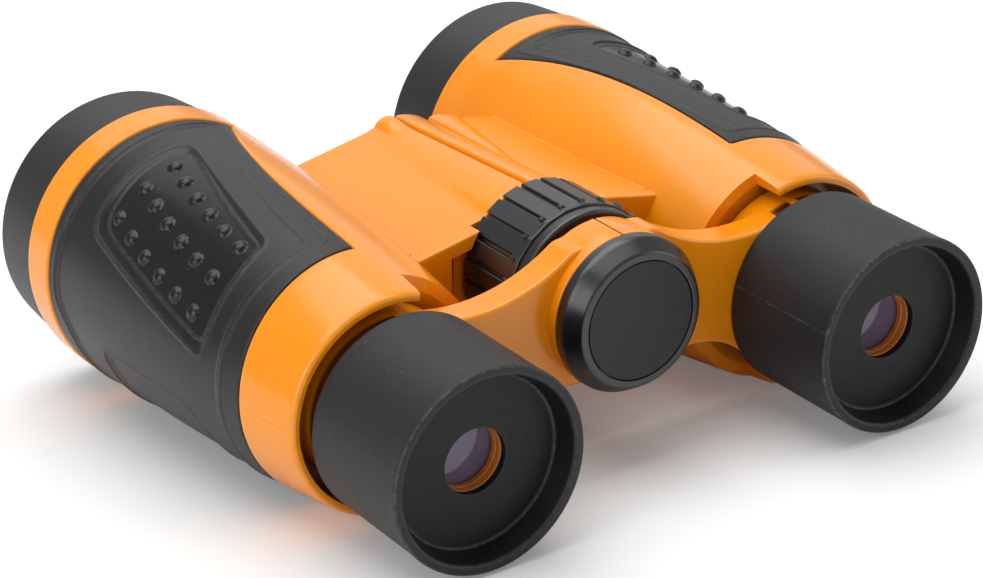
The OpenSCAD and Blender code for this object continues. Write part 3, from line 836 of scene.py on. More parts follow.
OBJECTIVE_GLASS = GlassFinish(
    "coated_front_glass", "objective_glass", (248, 250, 252), (240, 246, 252), 1.0)
EYE_GLASS = GlassFinish("smoky_eye_glass", "eye_glass", (158, 152, 162), (136, 130, 142), 0.22)
STEEL = MetalFinish("turned_steel", "steel", (176, 178, 182), (140, 138, 136), 0.24)
BRASS = MetalFinish("turned_brass", "brass", (214, 176, 96), (150, 112, 58), 0.28)


def fit(shell: Shell, side: Side, finish: Finish, body: str, node: str) -> None:
    """Write a shell, dress it and set it on its body.

    Args:
        shell: The closed surface.
        side: The half it belongs to.
        finish: Its finish.
        body: The body it rides on.
        node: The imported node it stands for, alone or with others.
    """
    piece = shell.mesh_object(side)
    piece.data.materials.append(finish.material())
    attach(piece, body)
    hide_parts(node)
    LOG.info("%s: %d faces on %s", piece.name, len(piece.data.polygons), body)


def turned_piece(name: str, profile: Profile, turn: Turn, steps: int, side: Side, finish: Finish,
                 body: str, node: str) -> None:
    """Turn a profile about an axis and fit it as one piece."""
    fit(Shell(name, Patch.turned(profile, turn, steps)), side, finish, body, node)


# Sub-assemblies


def beside_seam(radius: Grid, angle: Grid) -> Grid:
    """Points of arcs about the hinge as (distance from the seam, height), held clear of the seam."""
    return np.stack([np.maximum(-radius * np.cos(angle), SEAM), radius * np.sin(angle)], axis=-1)


@dataclass
class Barrel:
    """One barrel: a tapered shell with the grip's seat, the collar and its notch.

    Its edges are tables of points: for the collar the way forward, radius and wear; for the
    band's rear the way forward, radius and sink under the grip; for its front the way back and
    the drop; and for the seat's lip, in two rows, the way along and the share of the depth.
    """

    side: Side
    band_r: float = 17.885
    shoulder_r: float = 17.75
    taper_curve: float = 354.69
    collar_y: float = -24.7
    collar_edge: Triples = (
        (0.0, 13.1, 0.0), (0.0, 13.22, 0.0), (0.04, 13.38, 1.0), (0.16, 13.56, 1.0), (0.32, 13.68, 1.0))
    collar_len: float = 0.52
    notch_y: float = -20.2
    notch_margin: float = 8.0
    guide_y: float = -8.2
    band_y: float = 28.9
    band_edge: Triples = (
        (0.0, 17.75, 0.2), (0.04, 17.78, 0.1), (0.12, 17.84, 0.04), (0.24, 17.875, 0.01))
    band_step: float = 0.4
    band_flat: float = 0.6
    band_wear: float = 0.6
    front_y: float = 34.3
    front_flat: float = 0.55
    front_edge: Pairs = ((0.35, 0.0), (0.2, 0.015), (0.08, 0.095), (0.0, 0.235))
    front_land_r: float = 17.4
    spigot_y: float = 39.9
    lens_y: float = 37.1
    recess_r: float = 12.75
    guide_r: float = 11.06
    chamber_r: float = 13.6
    seat_r: float = 14.43
    spigot_r: float = 15.6
    grip_rear_y: float = -14.7
    edge_rear: float = 2.1
    edge_front: float = 9.3
    tail_y: float = -13.0
    tail_bow: float = 1.8
    tail_start: float = 79.0
    tail_span: float = 121.0
    seat_depth: float = 1.03
    seat_lip: tuple[tuple[float, ...], ...] = (
        (-0.75, -0.45, -0.33, -0.23, -0.14, -0.07, -0.02, 0.0, 0.0),
        (0.0, 0.0, 0.015, 0.05, 0.11, 0.19, 0.29, 0.4, 1.0))
    seat_margin: float = 0.75
    seat_wear: float = 0.6
    lip_range: tuple[float, float] = (0.01, 0.5)
    recess_edge: float = 0.12
    # Painted shade: these negative weights darken the collar's inner edge and the bore.
    edge_shade: float = -0.4
    bore_shade: float = -0.8
    fade: float = 6.0
    parting_angle: float = 178.0
    parting_half: float = 0.35
    parting_depth: float = 0.05

    def radius(self, y: Grid) -> Grid:
        """Outer radius behind the band: level with it there, falling by the square of the distance."""
        return self.shoulder_r - np.square(np.maximum(self.band_y - y, 0.0)) / (2.0 * self.taper_curve)

    def edge_angle(self, y: Grid) -> Grid:
        """Angle of the grip's inner edge, from the inner side over the top, in radians.

        Seen from above, the edge's distance from the axis grows by the cube of the way forward.

        Args:
            y: Places along the barrel.

        Returns:
            The angle at each place.
        """
        t = np.clip((y - self.grip_rear_y) / (self.band_y - self.grip_rear_y), 0.0, 1.0)
        offset = self.edge_rear + (self.edge_front - self.edge_rear) * t**3
        return np.arccos(offset / self.radius(np.clip(y, self.grip_rear_y, self.band_y)))

    def grip_rear(self, angle: Grid) -> Grid:
        """Y of the grip's rear edge at an angle: a sine that is furthest back low on the outer side."""
        share = np.clip((np.degrees(angle) - self.tail_start) / self.tail_span, 0.0, 2.0)
        return self.tail_y - self.tail_bow * np.sin(QUARTER_TURN * share)

    def _columns(self) -> Grid:
        """Columns from the inner side over the top to the outer side.

        Three of them stand close together at the parting line.

        Returns:
            For each column: its share of the notch angle, of the edge angle and of half a turn,
            its offset in millimetres along the arc, its seat weight, and 1 if it ends at the notch.
        """
        offset, share = np.array(self.seat_lip)
        inner = np.linspace(0.0, 1.0, 15)
        strip = np.linspace(0.0, 1.0, 7)[:-1]
        edge = float(np.degrees(self.edge_angle(np.array(self.collar_y))))
        line = self.parting_angle + self.parting_half * np.array([-1.0, 0.0, 1.0])
        outer = np.sort(np.append(np.linspace(0.0, 1.0, 50)[1:], (line - edge) / (180.0 - edge)))
        return table(
            (inner, 0.0, 0.0, 0.0, 0.0, 1.0),
            (1.0 - strip, strip, 0.0, -self.seat_margin * strip, 0.0, 0.0),
            (0.0, 1.0, 0.0, offset, share, 0.0),
            (0.0, 1.0 - outer, outer, 0.0, 1.0, 0.0))

    def _rows(self) -> Grid:
        """Rows along the profile, from the collar's rear face forward and back through the bore.

        Returns:
            For each row: the fixed part of its Y, its share of the grip's rear edge, its radius
            (NaN where it follows the taper), how far it sinks under the grip, and its weight: wear above 0,
            painted shade below 0.
        """
        offset, share = np.array(self.seat_lip)
        collar_at, collar_r, collar_wear = np.array(self.collar_edge).T
        step_at, step_r, step_sink = np.array(self.band_edge).T
        front_at, front_drop = np.array(self.front_edge).T
        first = self.collar_y + self.collar_len
        back = np.linspace(0.0, 1.0, 16)[:-1]
        along = np.linspace(0.0, 1.0, 40)[1:]
        flat_y = [self.band_y + self.band_step, self.band_y + self.band_flat, self.front_y - self.front_flat]
        mouth_y, mouth_r = np.array([
            (self.front_y, self.front_land_r), (self.front_y, self.spigot_r),
            (self.spigot_y, self.spigot_r), (self.spigot_y, self.seat_r),
            (self.lens_y, self.seat_r), (self.lens_y, self.chamber_r)]).T
        bore_y, bore_r = np.array([
            (self.guide_y + self.chamber_r - self.guide_r, self.chamber_r), (self.guide_y, self.guide_r),
            (self.notch_y, self.guide_r), (self.notch_y, self.recess_r), (self.collar_y, self.recess_r)]).T
        return table(
            (self.collar_y, 0.0, self.recess_r, 0.0, self.edge_shade),
            (self.collar_y, 0.0, self.recess_r + self.recess_edge, 0.0, 0.0),
            (self.collar_y + collar_at, 0.0, collar_r, 0.0, collar_wear),
            (first * (1.0 - back) - self.seat_margin * back, back, np.nan, 0.0, 0.0),
            (offset, 1.0, np.nan, self.seat_depth * share, 0.0),
            (self.band_y * along, 1.0 - along, np.nan, self.seat_depth, 0.0),
            (self.band_y + step_at, 0.0, step_r, step_sink, 0.0),
            (flat_y, 0.0, self.band_r, 0.0, self.band_wear),
            (self.front_y - front_at, 0.0, self.band_r - front_drop, 0.0, 0.0),
            (mouth_y, 0.0, mouth_r, 0.0, 0.0),
            (bore_y, 0.0, bore_r, 0.0, self.bore_shade))

    def surface(self) -> Patch:
        """The whole shell as one grid around and along the barrel.

        Columns run along the barrel and lean with the grip's edge; rows lean with its rear
        edge. The radius is the taper less the seat's depth times a weight of the column and
        of the row, so that the seat's corner is rounded. Rows behind the notch stop at it.
        Beside the grip the taper swells to meet the band without a step.

        Returns:
            The grid, closed around the barrel and through its bore.
        """
        columns = self._columns()
        notch, edge, half, shift, seat, short = np.concatenate([columns, columns[:, ::-1]], axis=1)
        fixed, follow, set_r, sink, wear = self._rows()[:, :, None]
        mirrored = np.arange(len(notch)) >= len(notch) // 2
        margin = math.radians(self.notch_margin)
        at_collar = float(self.edge_angle(np.array(self.collar_y)))
        over = notch * (at_collar - margin) + edge * at_collar + half * math.pi
        over = np.where(mirrored, FULL_TURN - over, over)
        ends = np.where(short > 0.0, self.notch_y, self.collar_y)
        y = np.maximum(fixed + follow * self.grip_rear(over), ends)
        edge_at = self.edge_angle(y)
        angle = notch * (edge_at - margin) + edge * edge_at + half * math.pi
        tapered = np.isnan(set_r)
        radius = np.where(tapered, self.radius(y), set_r)
        stepped = (fixed >= self.band_y) & (fixed <= self.band_y + self.band_step)
        swell = (self.band_r - self.shoulder_r) * soft_step((y - self.band_y) / self.fade + 1.0)
        radius = radius + np.where(stepped, self.band_r - radius, tapered * swell) * (1.0 - seat)
        angle = angle + shift / np.maximum(radius, 1.0)
        angle = np.where(mirrored, FULL_TURN - angle, angle)
        line = np.isclose(np.degrees(over), self.parting_angle)
        behind = (follow < 1.0) & tapered & (fixed < 0.0)
        radius = radius - sink * seat - self.parting_depth * line * behind
        least, most = self.lip_range
        lip = (seat > least) & (seat < most) & (sink > most)
        lip = lip | (sink > least) & (sink < most) & (seat > most)
        # Negative weights stay as they are: painted shade on the collar's inner edge and in the bore.
        weight = np.where(wear < 0.0, wear, np.maximum(wear, self.seat_wear * lip))
        return Patch(Turn.BARREL.at(angle, y, radius), weight)

    def build(self) -> None:
        """Write and dress the shell."""
        shell = Shell(f"{self.side.word}_barrel_shell", self.surface())
        fit(shell, self.side, ORANGE, self.side.half, f"{self.side.word}_body")


@dataclass(frozen=True)
class Recess:
    """A sunk area of the grip, with the outlines of its wall's upper edge and of its floor.

    The outlines are corners of (degrees, y, setback), and a bead runs along both. Its painted shade darkens
    its floor.
    """

    top: Triples
    foot: Triples
    depth: float
    bead: float
    # Share of painted shade on the recess floor.
    shelter: float


FIELD = Recess(
    top=((67.6, 27.2, 0.8), (184, 27.2, 3), (196, 25.2, 3), (288, 25.2, 2), (276, 3, 6),
         (269.6, -10.6, 1.6), (195, -10.9, 8), (90.2, -10.6, 1), (86.4, -1, 4), (80, 11.5, 5)),
    foot=((74.6, 26.4, 0.8), (184, 26.4, 3), (196, 24.4, 3), (281, 24.4, 2), (267, 2, 6),
          (262.2, -9.9, 1.4), (195, -10.2, 8), (97.2, -9.4, 0.9), (95.4, -1.6, 3), (86.2, 12.6, 5)),
    depth=0.26, bead=0.9, shelter=0.15)
PANEL = Recess(
    top=((91, 22.2, 2.8), (126, 22.2, 5), (147, 21.6, 3), (168.4, -6.9, 1.8), (138, -7, 5),
         (109.2, -5.8, 1.6), (101.6, 6.6, 5)),
    foot=((92.8, 21.1, 2.2), (122, 21.1, 5), (143.4, 19.7, 2.4), (161.6, -6, 1.6), (139, -6.1, 5),
          (113.4, -5.2, 1), (106.5, 5.5, 5)),
    depth=0.42, bead=1.0, shelter=0.85)
THUMB = Recess(
    top=((194.2, 17, 1.8), (232, 17.6, 5), (257.5, 16, 3), (248, -5.2, 3), (212, -5.2, 2.6),
         (195.8, -2.4, 2.2)),
    foot=((196.2, 15.9, 1.5), (232, 16.5, 5), (254.6, 15.2, 2.6), (246.4, -4.2, 2.6), (213, -4.2, 2.4),
          (197.6, -1.6, 2)),
    depth=0.3, bead=0.7, shelter=0.0)


@dataclass
class Grip:
    """The rubber pad on a barrel: a border, a sunk field, a sunk panel with dots and a thumb rest."""

    barrel: Barrel
    thick: float = 1.0
    level: float = -0.05
    gap: float = 0.07
    edge_round: float = 0.3
    edge_wear: float = 0.4
    bead_rise: float = 0.12
    bead_width: float = 0.36
    bead_offset: float = 0.1
    bead_wear: float = 0.5
    bead_least: float = 0.05
    dot_r: float = 1.05
    dot_rise: float = 0.55
    dot_power: float = 0.62
    dot_painted_shade_share: float = 0.7
    dot_first_y: float = 18.3
    dot_pitch: float = 4.18
    dot_count: int = 6
    dot_rows: Pairs = ((104.9, 3.7), (120.7, 4.0), (137.3, 4.1))
    dot_row_bend: float = -0.21
    unroll_r: float = 16.3
    columns: int = 337
    rows: int = 241
    seen_columns: float = 0.74
    seen_arc: float = 0.6
    coarse: int = 6
    margin_steps: int = 5

    def _depth(self, around: Grid, y: Grid, corners: Sequence[Triple]) -> Grid:
        """Distance to an outline on the unrolled barrel, positive inside it."""
        flat = np.array(corners, float) * np.array([math.radians(1.0) * self.unroll_r, 1.0, 1.0])
        return outline_depth(around, y, Profile.rounded(flat, steps=5, support=0.0).points[:-1])

    def _sunk(self, around: Grid, y: Grid, recess: Recess) -> tuple[Grid, Grid]:
        """Drop of a recess for each unit of its depth, with the beads along its two outlines.

        The drop is 0 outside the upper outline, 1 inside the floor and an even ramp between. A
        rounded bead stands along either outline, falling by the square of the distance from it.

        Args:
            around: Millimetres around the unrolled barrel.
            y: Places along the barrel.
            recess: The recess.

        Returns:
            The drop at each point and the share of a bead.
        """
        from_top = self._depth(around, y, recess.top)
        from_foot = self._depth(around, y, recess.foot)
        inside = np.maximum(from_top, 0.0)
        ramp = inside / np.maximum(inside + np.maximum(-from_foot, 0.0), TINY)
        nearest = np.minimum(np.abs(from_top + self.bead_offset), np.abs(from_foot + self.bead_offset))
        return ramp, np.clip(1.0 - (nearest / self.bead_width) ** 2, 0.0, 1.0)

    def _dots(self, angle: Grid, y: Grid) -> Grid:
        """Share of a dot's height at each point.

        The dots stand in rows that bend away from the top, and each is a dome whose height
        falls by a power of one less the squared share of its radius.

        Args:
            angle: Angles around the barrel in radians.
            y: Places along the barrel.

        Returns:
            The share, 0 between the dots.
        """
        k = np.arange(self.dot_count)
        row = np.array(self.dot_rows)
        spot_angle = np.radians(row[:, :1] + row[:, 1:] * k + self.dot_row_bend * k**2).ravel()
        spot_y = np.tile(self.dot_first_y - self.dot_pitch * k, len(row))
        reach = self.barrel.radius(y)[..., None] * (angle[..., None] - spot_angle)
        share = (reach**2 + (y[..., None] - spot_y) ** 2) / self.dot_r**2
        return np.power(np.clip(1.0 - share, 0.0, 1.0), self.dot_power).max(-1)

    def relief(self, angle: Grid, y: Grid) -> tuple[Grid, Grid]:
        """Height of the pad's face above the barrel's surface, with the recesses taken off.

        Args:
            angle: Angles around the barrel in radians.
            y: Places along the barrel.

        Returns:
            The height and the weight at each point: wear on the beads, painted shade in the recesses.
        """
        dome = self._dots(angle, y)
        height = self.level + self.dot_rise * dome
        rub = np.zeros(y.shape)
        shelter = np.zeros(y.shape)
        for recess in (FIELD, PANEL, THUMB):
            drop, bead = self._sunk(angle * self.unroll_r, y, recess)
            height = height - recess.depth * drop + self.bead_rise * recess.bead * bead
            rub = np.maximum(rub, self.bead_wear * bead)
            # Painted shade: each recess floor is painted darker by its share.
            shelter = shelter + recess.shelter * drop
        # The dots take the painted shade too, less towards their tops.
        shelter = shelter * (1.0 - (1.0 - self.dot_painted_shade_share) * dome)
        return height, np.where(rub > self.bead_least, rub, -shelter)

    def _spread(self, count: int) -> Grid:
        """Places across the pad: close together in the rounded margins, even between them.

        Args:
            count: How many places.

        Returns:
            For each place, its fixed offset in millimetres and its share of the width between the margins.
        """
        k = np.arange(self.margin_steps + 1)
        margin = self.edge_round * k * (k + 1) / (self.margin_steps * (self.margin_steps + 1))
        even = np.linspace(0.0, 1.0, count - 2 * len(k) + 2)[1:-1]
        return table((margin, 0.0), (self.edge_round, even), (2.0 * self.edge_round - margin[::-1], 1.0))

    def _nearest(self, count: int) -> NDArray[np.int64]:
        """For each of the face's places, the nearest one that the coarse underside keeps."""
        near = np.round(np.arange(count) / self.coarse) * self.coarse
        return np.minimum(near, count - 1).astype(int)

    def patches(self) -> list[Patch]:
        """The pad's face, its edge all round and its coarser underside.

        The edge joins each fine point of the face's border to the nearest point of the
        underside's border, and equal neighbours fall together when the shell is welded.

        Returns:
            The patches of the closed pad.
        """
        barrel = self.barrel
        col_fixed, col_share = self._spread(self.columns)
        col_share = np.interp(col_share, [0.0, self.seen_columns, 1.0], [0.0, self.seen_arc, 1.0])
        row_fixed, row_share = self._spread(self.rows)[:, :, None]
        wide = 2.0 * self.edge_round
        middle = float(barrel.edge_angle(np.array(0.0)))
        rear = barrel.grip_rear(middle + (FULL_TURN - 2.0 * middle) * col_share) + self.gap
        front = barrel.band_y - self.gap
        y = rear + row_fixed + row_share * (front - rear - wide)
        radius = barrel.radius(y)
        start = barrel.edge_angle(y) + self.gap / radius
        arc = (FULL_TURN - 2.0 * start) * radius
        angle = start + (col_fixed + col_share * (arc - wide)) / radius
        across = np.minimum(angle - start, FULL_TURN - start - angle) * radius
        along = np.minimum(y - rear, front - y)
        drop = np.maximum(quarter_round(across, self.edge_round), quarter_round(along, self.edge_round))
        height, weight = self.relief(angle, y)
        face = Turn.BARREL.at(angle, y, radius + height - drop)
        floor = Turn.BARREL.at(angle, y, radius - self.thick)
        under = floor[::self.coarse, ::self.coarse]
        rows, cols = self._nearest(self.rows), self._nearest(self.columns)
        sides = ((face[0], floor[0, cols]), (face[-1], floor[-1, cols]),
                 (face[:, 0], floor[rows, 0]), (face[:, -1], floor[rows, -1]))
        made = [Patch(face, np.maximum(weight, np.where(drop > 0.0, self.edge_wear, -1.0))),
                Patch(under, np.zeros(under.shape[:2]))]
        made.extend(Patch(np.stack(pair), np.zeros((2, len(pair[0])))) for pair in sides)
        return made

    def build(self) -> None:
        """Write and dress the pad."""
        side = self.barrel.side
        shell = Shell(f"{side.word}_grip_pad", *self.patches())
        fit(shell, side, RUBBER, side.half, f"{side.word}_grip")


@dataclass
class Objective:
    """The front of a barrel: the dark ring, the lens and its snap ring."""

    side: Side
    ring_rear_y: float = 34.33
    ring_y: float = 44.3
    ring_rear_r: float = 17.6
    ring_front_r: float = 16.9
    bore_r: float = 14.2
    flare: float = 1.0
    spigot_r: float = 15.63
    seat_y: float = 39.93
    lens_r: float = 14.4
    lens_rear_y: float = 37.13
    lens_front_y: float = 38.67
    lens_face_r: float = 13.08
    lens_curve: float = 80.0
    retainer_y: float = 38.7
    retainer_front_y: float = 39.9
    retainer_bore_r: float = 13.2
    retainer_round: float = 0.08

    def ring(self) -> Profile:
        """The ring: a slight taper, a soft front edge and a flared mouth."""
        return Profile.rounded([
            (self.spigot_r, self.ring_rear_y, 0.0), (self.ring_rear_r, self.ring_rear_y, 0.22),
            (self.ring_front_r, self.ring_y, 0.75), (self.bore_r + self.flare, self.ring_y, 0.3),
            (self.bore_r, self.ring_y - self.flare, 0.3), (self.bore_r, self.seat_y, 0.0),
            (self.spigot_r, self.seat_y, 0.0)])

    def lens(self) -> Profile:
        """The lens: two faces of one sphere's curve, whose height is a root less the edge's."""
        r, curve = np.linspace(0.0, self.lens_face_r, 24), self.lens_curve
        return Profile.lens(r, np.sqrt(curve**2 - r**2) - math.sqrt(curve**2 - r[-1] ** 2),
                            self.lens_r, self.lens_rear_y, self.lens_front_y)

    def retainer(self) -> Profile:
        """The snap ring in front of the lens, with small rounded edges."""
        small = self.retainer_round
        return Profile.rounded([
            (self.retainer_bore_r, self.retainer_y, small), (self.lens_r, self.retainer_y, small),
            (self.lens_r, self.retainer_front_y, small),
            (self.retainer_bore_r, self.retainer_front_y, 0.35)], steps=4)

    def build(self) -> None:
        """Write and dress the ring, the lens and the snap ring."""
        word = self.side.word
        for name, profile, steps, finish, node in (
                ("front_ring", self.ring(), 144, DARK, "objective_ring"),
                ("front_glass", self.lens(), 96, OBJECTIVE_GLASS, "objective_lens"),
                ("snap_ring", self.retainer(), 96, DARK, "lens_retainer")):
            turned_piece(f"{word}_{name}", profile, Turn.BARREL, steps, self.side, finish,
                         self.side.half, f"{word}_{node}")


@dataclass
class Bridge:
    """Half of the bridge: the hump over the hinge, the wing to the barrel and the wheel's cheek."""

    barrel: Barrel
    front_y: float = 22.5
    rear_y: float = -8.9
    cheek_y: float = -11.0
    cheek_x: float = 12.65
    cheek_round: float = 0.32
    cheek_bend: tuple[float, ...] = (0.0, 0.03, 0.1, 0.2, 0.32)
    cheek_middle: float = 11.6
    cheek_wear: float = 0.8
    plug_y: float = 21.38
    hump_front_r: float = 8.2
    hump_rear_r: float = 9.5
    crest: float = 8.1
    slope_degrees: float = 11.3
    wall: float = 1.8
    floor: float = -8.2
    seam_round: float = 0.35
    seam_wear: float = 0.5
    seam_points: int = 4
    room_r: float = 6.2
    knuckle_r: float = 5.6
    knuckle_gap: float = 0.12
    knuckle_sink: float = 0.1
    tube_r: float = 3.46
    knuckles: int = 4
    pocket_r: float = 10.85
    blend: float = 0.5
    flank_blend: float = 0.15
    dive_start: float = 0.12
    dive_slope: float = 0.8
    ridge_rise: float = 0.35
    ridge_width: float = 4.3
    ridge_fall: float = 0.5
    groove: float = 0.8
    groove_depth: float = 0.6
    groove_rise: float = 0.6
    tongue_y: float = 1.0
    tongue_tip: float = 0.3
    tongue_spread: float = 2.1
    tongue_rise: float = 0.55
    stop_r: float = 1.4
    stop_rise: float = 0.7
    stop_y: float = 17.0
    stop_run: float = 4.5
    end_round: float = 0.3
    end_wear: float = 0.7
    end_points: int = 90
    inside_reach: float = 3.0
    even_places: int = 40
    lower_points: int = 24

    @property
    def side(self) -> Side:
        """The half that the bridge belongs to."""
        return self.barrel.side

    @property
    def slope(self) -> float:
        """Fall of the wing's plane for each millimetre from the seam."""
        return math.tan(math.radians(self.slope_degrees))

    @property
    def first_knuckle(self) -> int:
        """The rearmost knuckle of the half; every second one from there is its own."""
        return 0 if self.side is Side.LEFT else 1

    @property
    def knuckle_len(self) -> float:
        """Length of one knuckle with its gaps."""
        return (self.plug_y - self.rear_y) / self.knuckles

    def wing(self, t: Grid) -> Grid:
        """Height of the wing's plane above the hinge at a distance from the seam."""
        return self.crest - self.slope * t

    def hump(self, y: Grid) -> Grid:
        """Radius of the hump, growing evenly from its front to the wheel."""
        share = (self.front_y - y) / (self.front_y - self.rear_y)
        return self.hump_front_r + (self.hump_rear_r - self.hump_front_r) * share

    def _meets(self, lift: float, radius: Grid, axis_x: float = 0.0, way: float = 1.0) -> Grid:
        """Where a plane of the wing's slope meets a circle: a quadratic's far or (way -1) near root."""
        a, b = 1.0 + self.slope**2, lift - self.slope * axis_x
        return (axis_x + self.slope * lift + way * np.sqrt(a * np.square(radius) - b * b)) / a

    def junction(self, y: Grid) -> Grid:
        """Distance from the seam at which the wing's plane first meets the barrel."""
        return self._meets(self.crest + AXIS_DROP, self.barrel.radius(y), AXIS_X, -1.0)

    def _ridged(self, t: Grid, y: Grid, plain: Grid) -> Grid:
        """The right half's upper face: a ridge along the seam, a groove beside it and a tongue.

        Args:
            t: Distances from the seam.
            y: Places along the hinge.
            plain: The face's height without them.

        Returns:
            The height above the hinge.
        """
        ridge = np.sqrt(np.maximum((self.hump(y) + self.ridge_rise) ** 2 - t**2, 0.01))
        past_ridge = t - self.ridge_width
        fall = soft_step((past_ridge + 1.1 * self.ridge_fall) / self.ridge_fall)
        height = ridge * (1.0 - fall) + (self.wing(t) - self.groove_depth) * fall
        rise = soft_step((past_ridge - 0.7 * self.groove) / self.groove_rise)
        height = height * (1.0 - rise) + plain * rise
        reach = np.clip((y - self.tongue_y) / (self.front_y - self.tongue_y), 0.02, 1.0)
        half_width = self.tongue_tip + self.tongue_spread * reach
        from_middle = (past_ridge - self.groove - half_width) / half_width
        tongue = np.sqrt(reach) * np.clip(1.0 - from_middle**2, 0.0, 1.0) ** 0.75
        return height + self.tongue_rise * tongue

    def _stopped(self, t: Grid, y: Grid, plain: Grid) -> Grid:
        """The left half's upper face, with a half-round stop that rises at the front of the seam."""
        bow = np.sqrt(np.clip(1.0 - ((t - SEAM) / self.stop_r - 1.0) ** 2, 0.0, 1.0))
        return plain + self.stop_rise * bow * soft_step((y - self.stop_y) / self.stop_run)

    def top(self, t: Grid, y: Grid) -> Grid:
        """Height of the upper face: hump, wing and barrel, blended where they cross.

        Beyond the junction the face dives under the barrel's surface.

        Args:
            t: Distances from the seam.
            y: Places along the hinge.

        Returns:
            The height above the hinge.
        """
        edge = self.junction(y) + self.dive_start
        past = np.maximum(t - edge, 0.0)
        t = np.minimum(t, edge)
        arch = np.sqrt(np.maximum(self.hump(y) ** 2 - t**2, 0.01))
        plain = soft_max(arch, self.wing(t), self.blend)
        own = self._ridged if self.side is Side.RIGHT else self._stopped
        flank = np.sqrt(np.maximum(self.barrel.radius(y) ** 2 - (AXIS_X - t) ** 2, 0.01)) - AXIS_DROP
        height = soft_max(own(t, y, plain), flank, self.flank_blend) - self.dive_slope * past
        return height - quarter_round(t - SEAM, self.seam_round)

    def _sections(self, y: Grid, inner_r: Grid, walled: Grid) -> Grid:
        """Closed sections of (distance from the seam, height), one for each place.

        Each runs from the seam over the hump and wing into the barrel, back below the wing (or
        down and along the floor where an end wall stands), round the hump's lower side to the
        fold's wedge and back up the knuckles' room to the seam.

        Args:
            y: Places along the hinge.
            inner_r: Radius of the room around the knuckles at each place.
            walled: 1 where an end wall stands, else 0.

        Returns:
            Grid of places by points by two coordinates.
        """
        meet = self.junction(y)[:, None]
        near = SEAM + np.concatenate([np.linspace(0.0, 0.4, 7), np.linspace(0.6, 9.6, 73)])
        far = np.concatenate([np.linspace(0.0, 0.8, 5)[1:], np.linspace(0.83, 1.0, 9)])
        dive = np.array([0.04, 0.08, self.dive_start, 0.3, 0.6, 1.0, 1.6, self.inside_reach])
        t = np.concatenate([np.repeat(near[None, :], len(y), axis=0),
                            near[-1] + (meet - near[-1]) * far, meet + dive], axis=1)
        upper = np.stack([t, self.top(t, y[:, None])], axis=-1)
        radius = self.hump(y)[:, None]
        deep = meet + self.inside_reach
        low = 3.0 * QUARTER_TURN - FOLD_WEDGE
        lift = self.crest - self.wall
        joint = self._meets(lift, radius)
        joint_angle = math.pi - np.arctan2(lift - self.slope * joint, joint)
        run = np.linspace(0.0, 1.0, self.lower_points)
        under_t = deep + (joint - deep) * run
        under = np.stack([under_t, lift - self.slope * under_t], axis=-1)
        belly = beside_seam(radius, joint_angle + (low - joint_angle) * run)
        base = np.minimum(self.floor, -radius * math.cos(FOLD_WEDGE))
        toe = SEAM - base * math.tan(FOLD_WEDGE)
        drop_z = under[:, :1, 1] + (self.floor - under[:, :1, 1]) * run
        drop = np.stack(np.broadcast_arrays(deep, drop_z), axis=-1)
        sole = np.stack([deep + (toe - deep) * run, self.floor + (base - self.floor) * run], axis=-1)
        wall = walled[:, None, None]
        lower = np.concatenate([under, belly], axis=1) * (1.0 - wall)
        lower = lower + np.concatenate([drop, sole], axis=1) * wall
        outside = np.concatenate([upper, lower], axis=1)
        turn = np.mod(np.arctan2(outside[..., 1], -outside[..., 0]), FULL_TURN)[:, ::-1]
        room = beside_seam(inner_r[:, None], np.clip(turn, QUARTER_TURN, low))
        return np.concatenate([outside, room, outside[:, :1]], axis=1)

    def _places(self) -> tuple[Grid, Grid, Grid]:
        """Places along the hinge with the room's radius and the walls at each, from the front back.

        Returns:
            Y, room radius and wall weight for each section; a change has both its states at one place.
        """
        order = np.arange(self.knuckles)
        is_own = order[::-1] % 2 == self.first_knuckle
        cuts = self.plug_y - self.knuckle_len * order
        walls = np.array([self.front_y - self.wall, self.rear_y + self.wall])
        even = np.linspace(self.front_y - self.end_round, self.rear_y, self.even_places)
        y = np.sort(np.concatenate([even, cuts - TINY, cuts + TINY, walls - TINY, walls + TINY]))[::-1]
        knuckle = np.floor((self.plug_y - y) / self.knuckle_len).astype(int)
        own = (y < self.plug_y) & is_own[np.clip(knuckle, 0, self.knuckles - 1)]
        walled = ((y > walls[0]) | (y < walls[1])).astype(float)
        return y, np.where(own, self.knuckle_r - self.knuckle_sink, self.room_r), walled

    def body(self) -> Shell:
        """The hump and wing with their end walls: sections stood along the hinge, capped at both ends.

        Returns:
            The closed shell.
        """
        y, inner, walled = self._places()
        loops = self._sections(y, inner, walled)
        run, draw = (self.end_round * part[:0:-1] for part in quarter(6))
        lead = inset(np.repeat(loops[:1], len(draw), axis=0), draw)
        edge = np.zeros((len(run) + len(y), loops.shape[1]))
        edge[:len(run), :self.end_points] = self.end_wear
        edge[:, :self.seam_points] = self.seam_wear
        places = np.concatenate([self.front_y - run, y])
        patch = Patch.stacked(np.concatenate([lead, loops]), places, edge)
        return Shell(f"{self.side.word}_bridge_half").close_ends(patch)

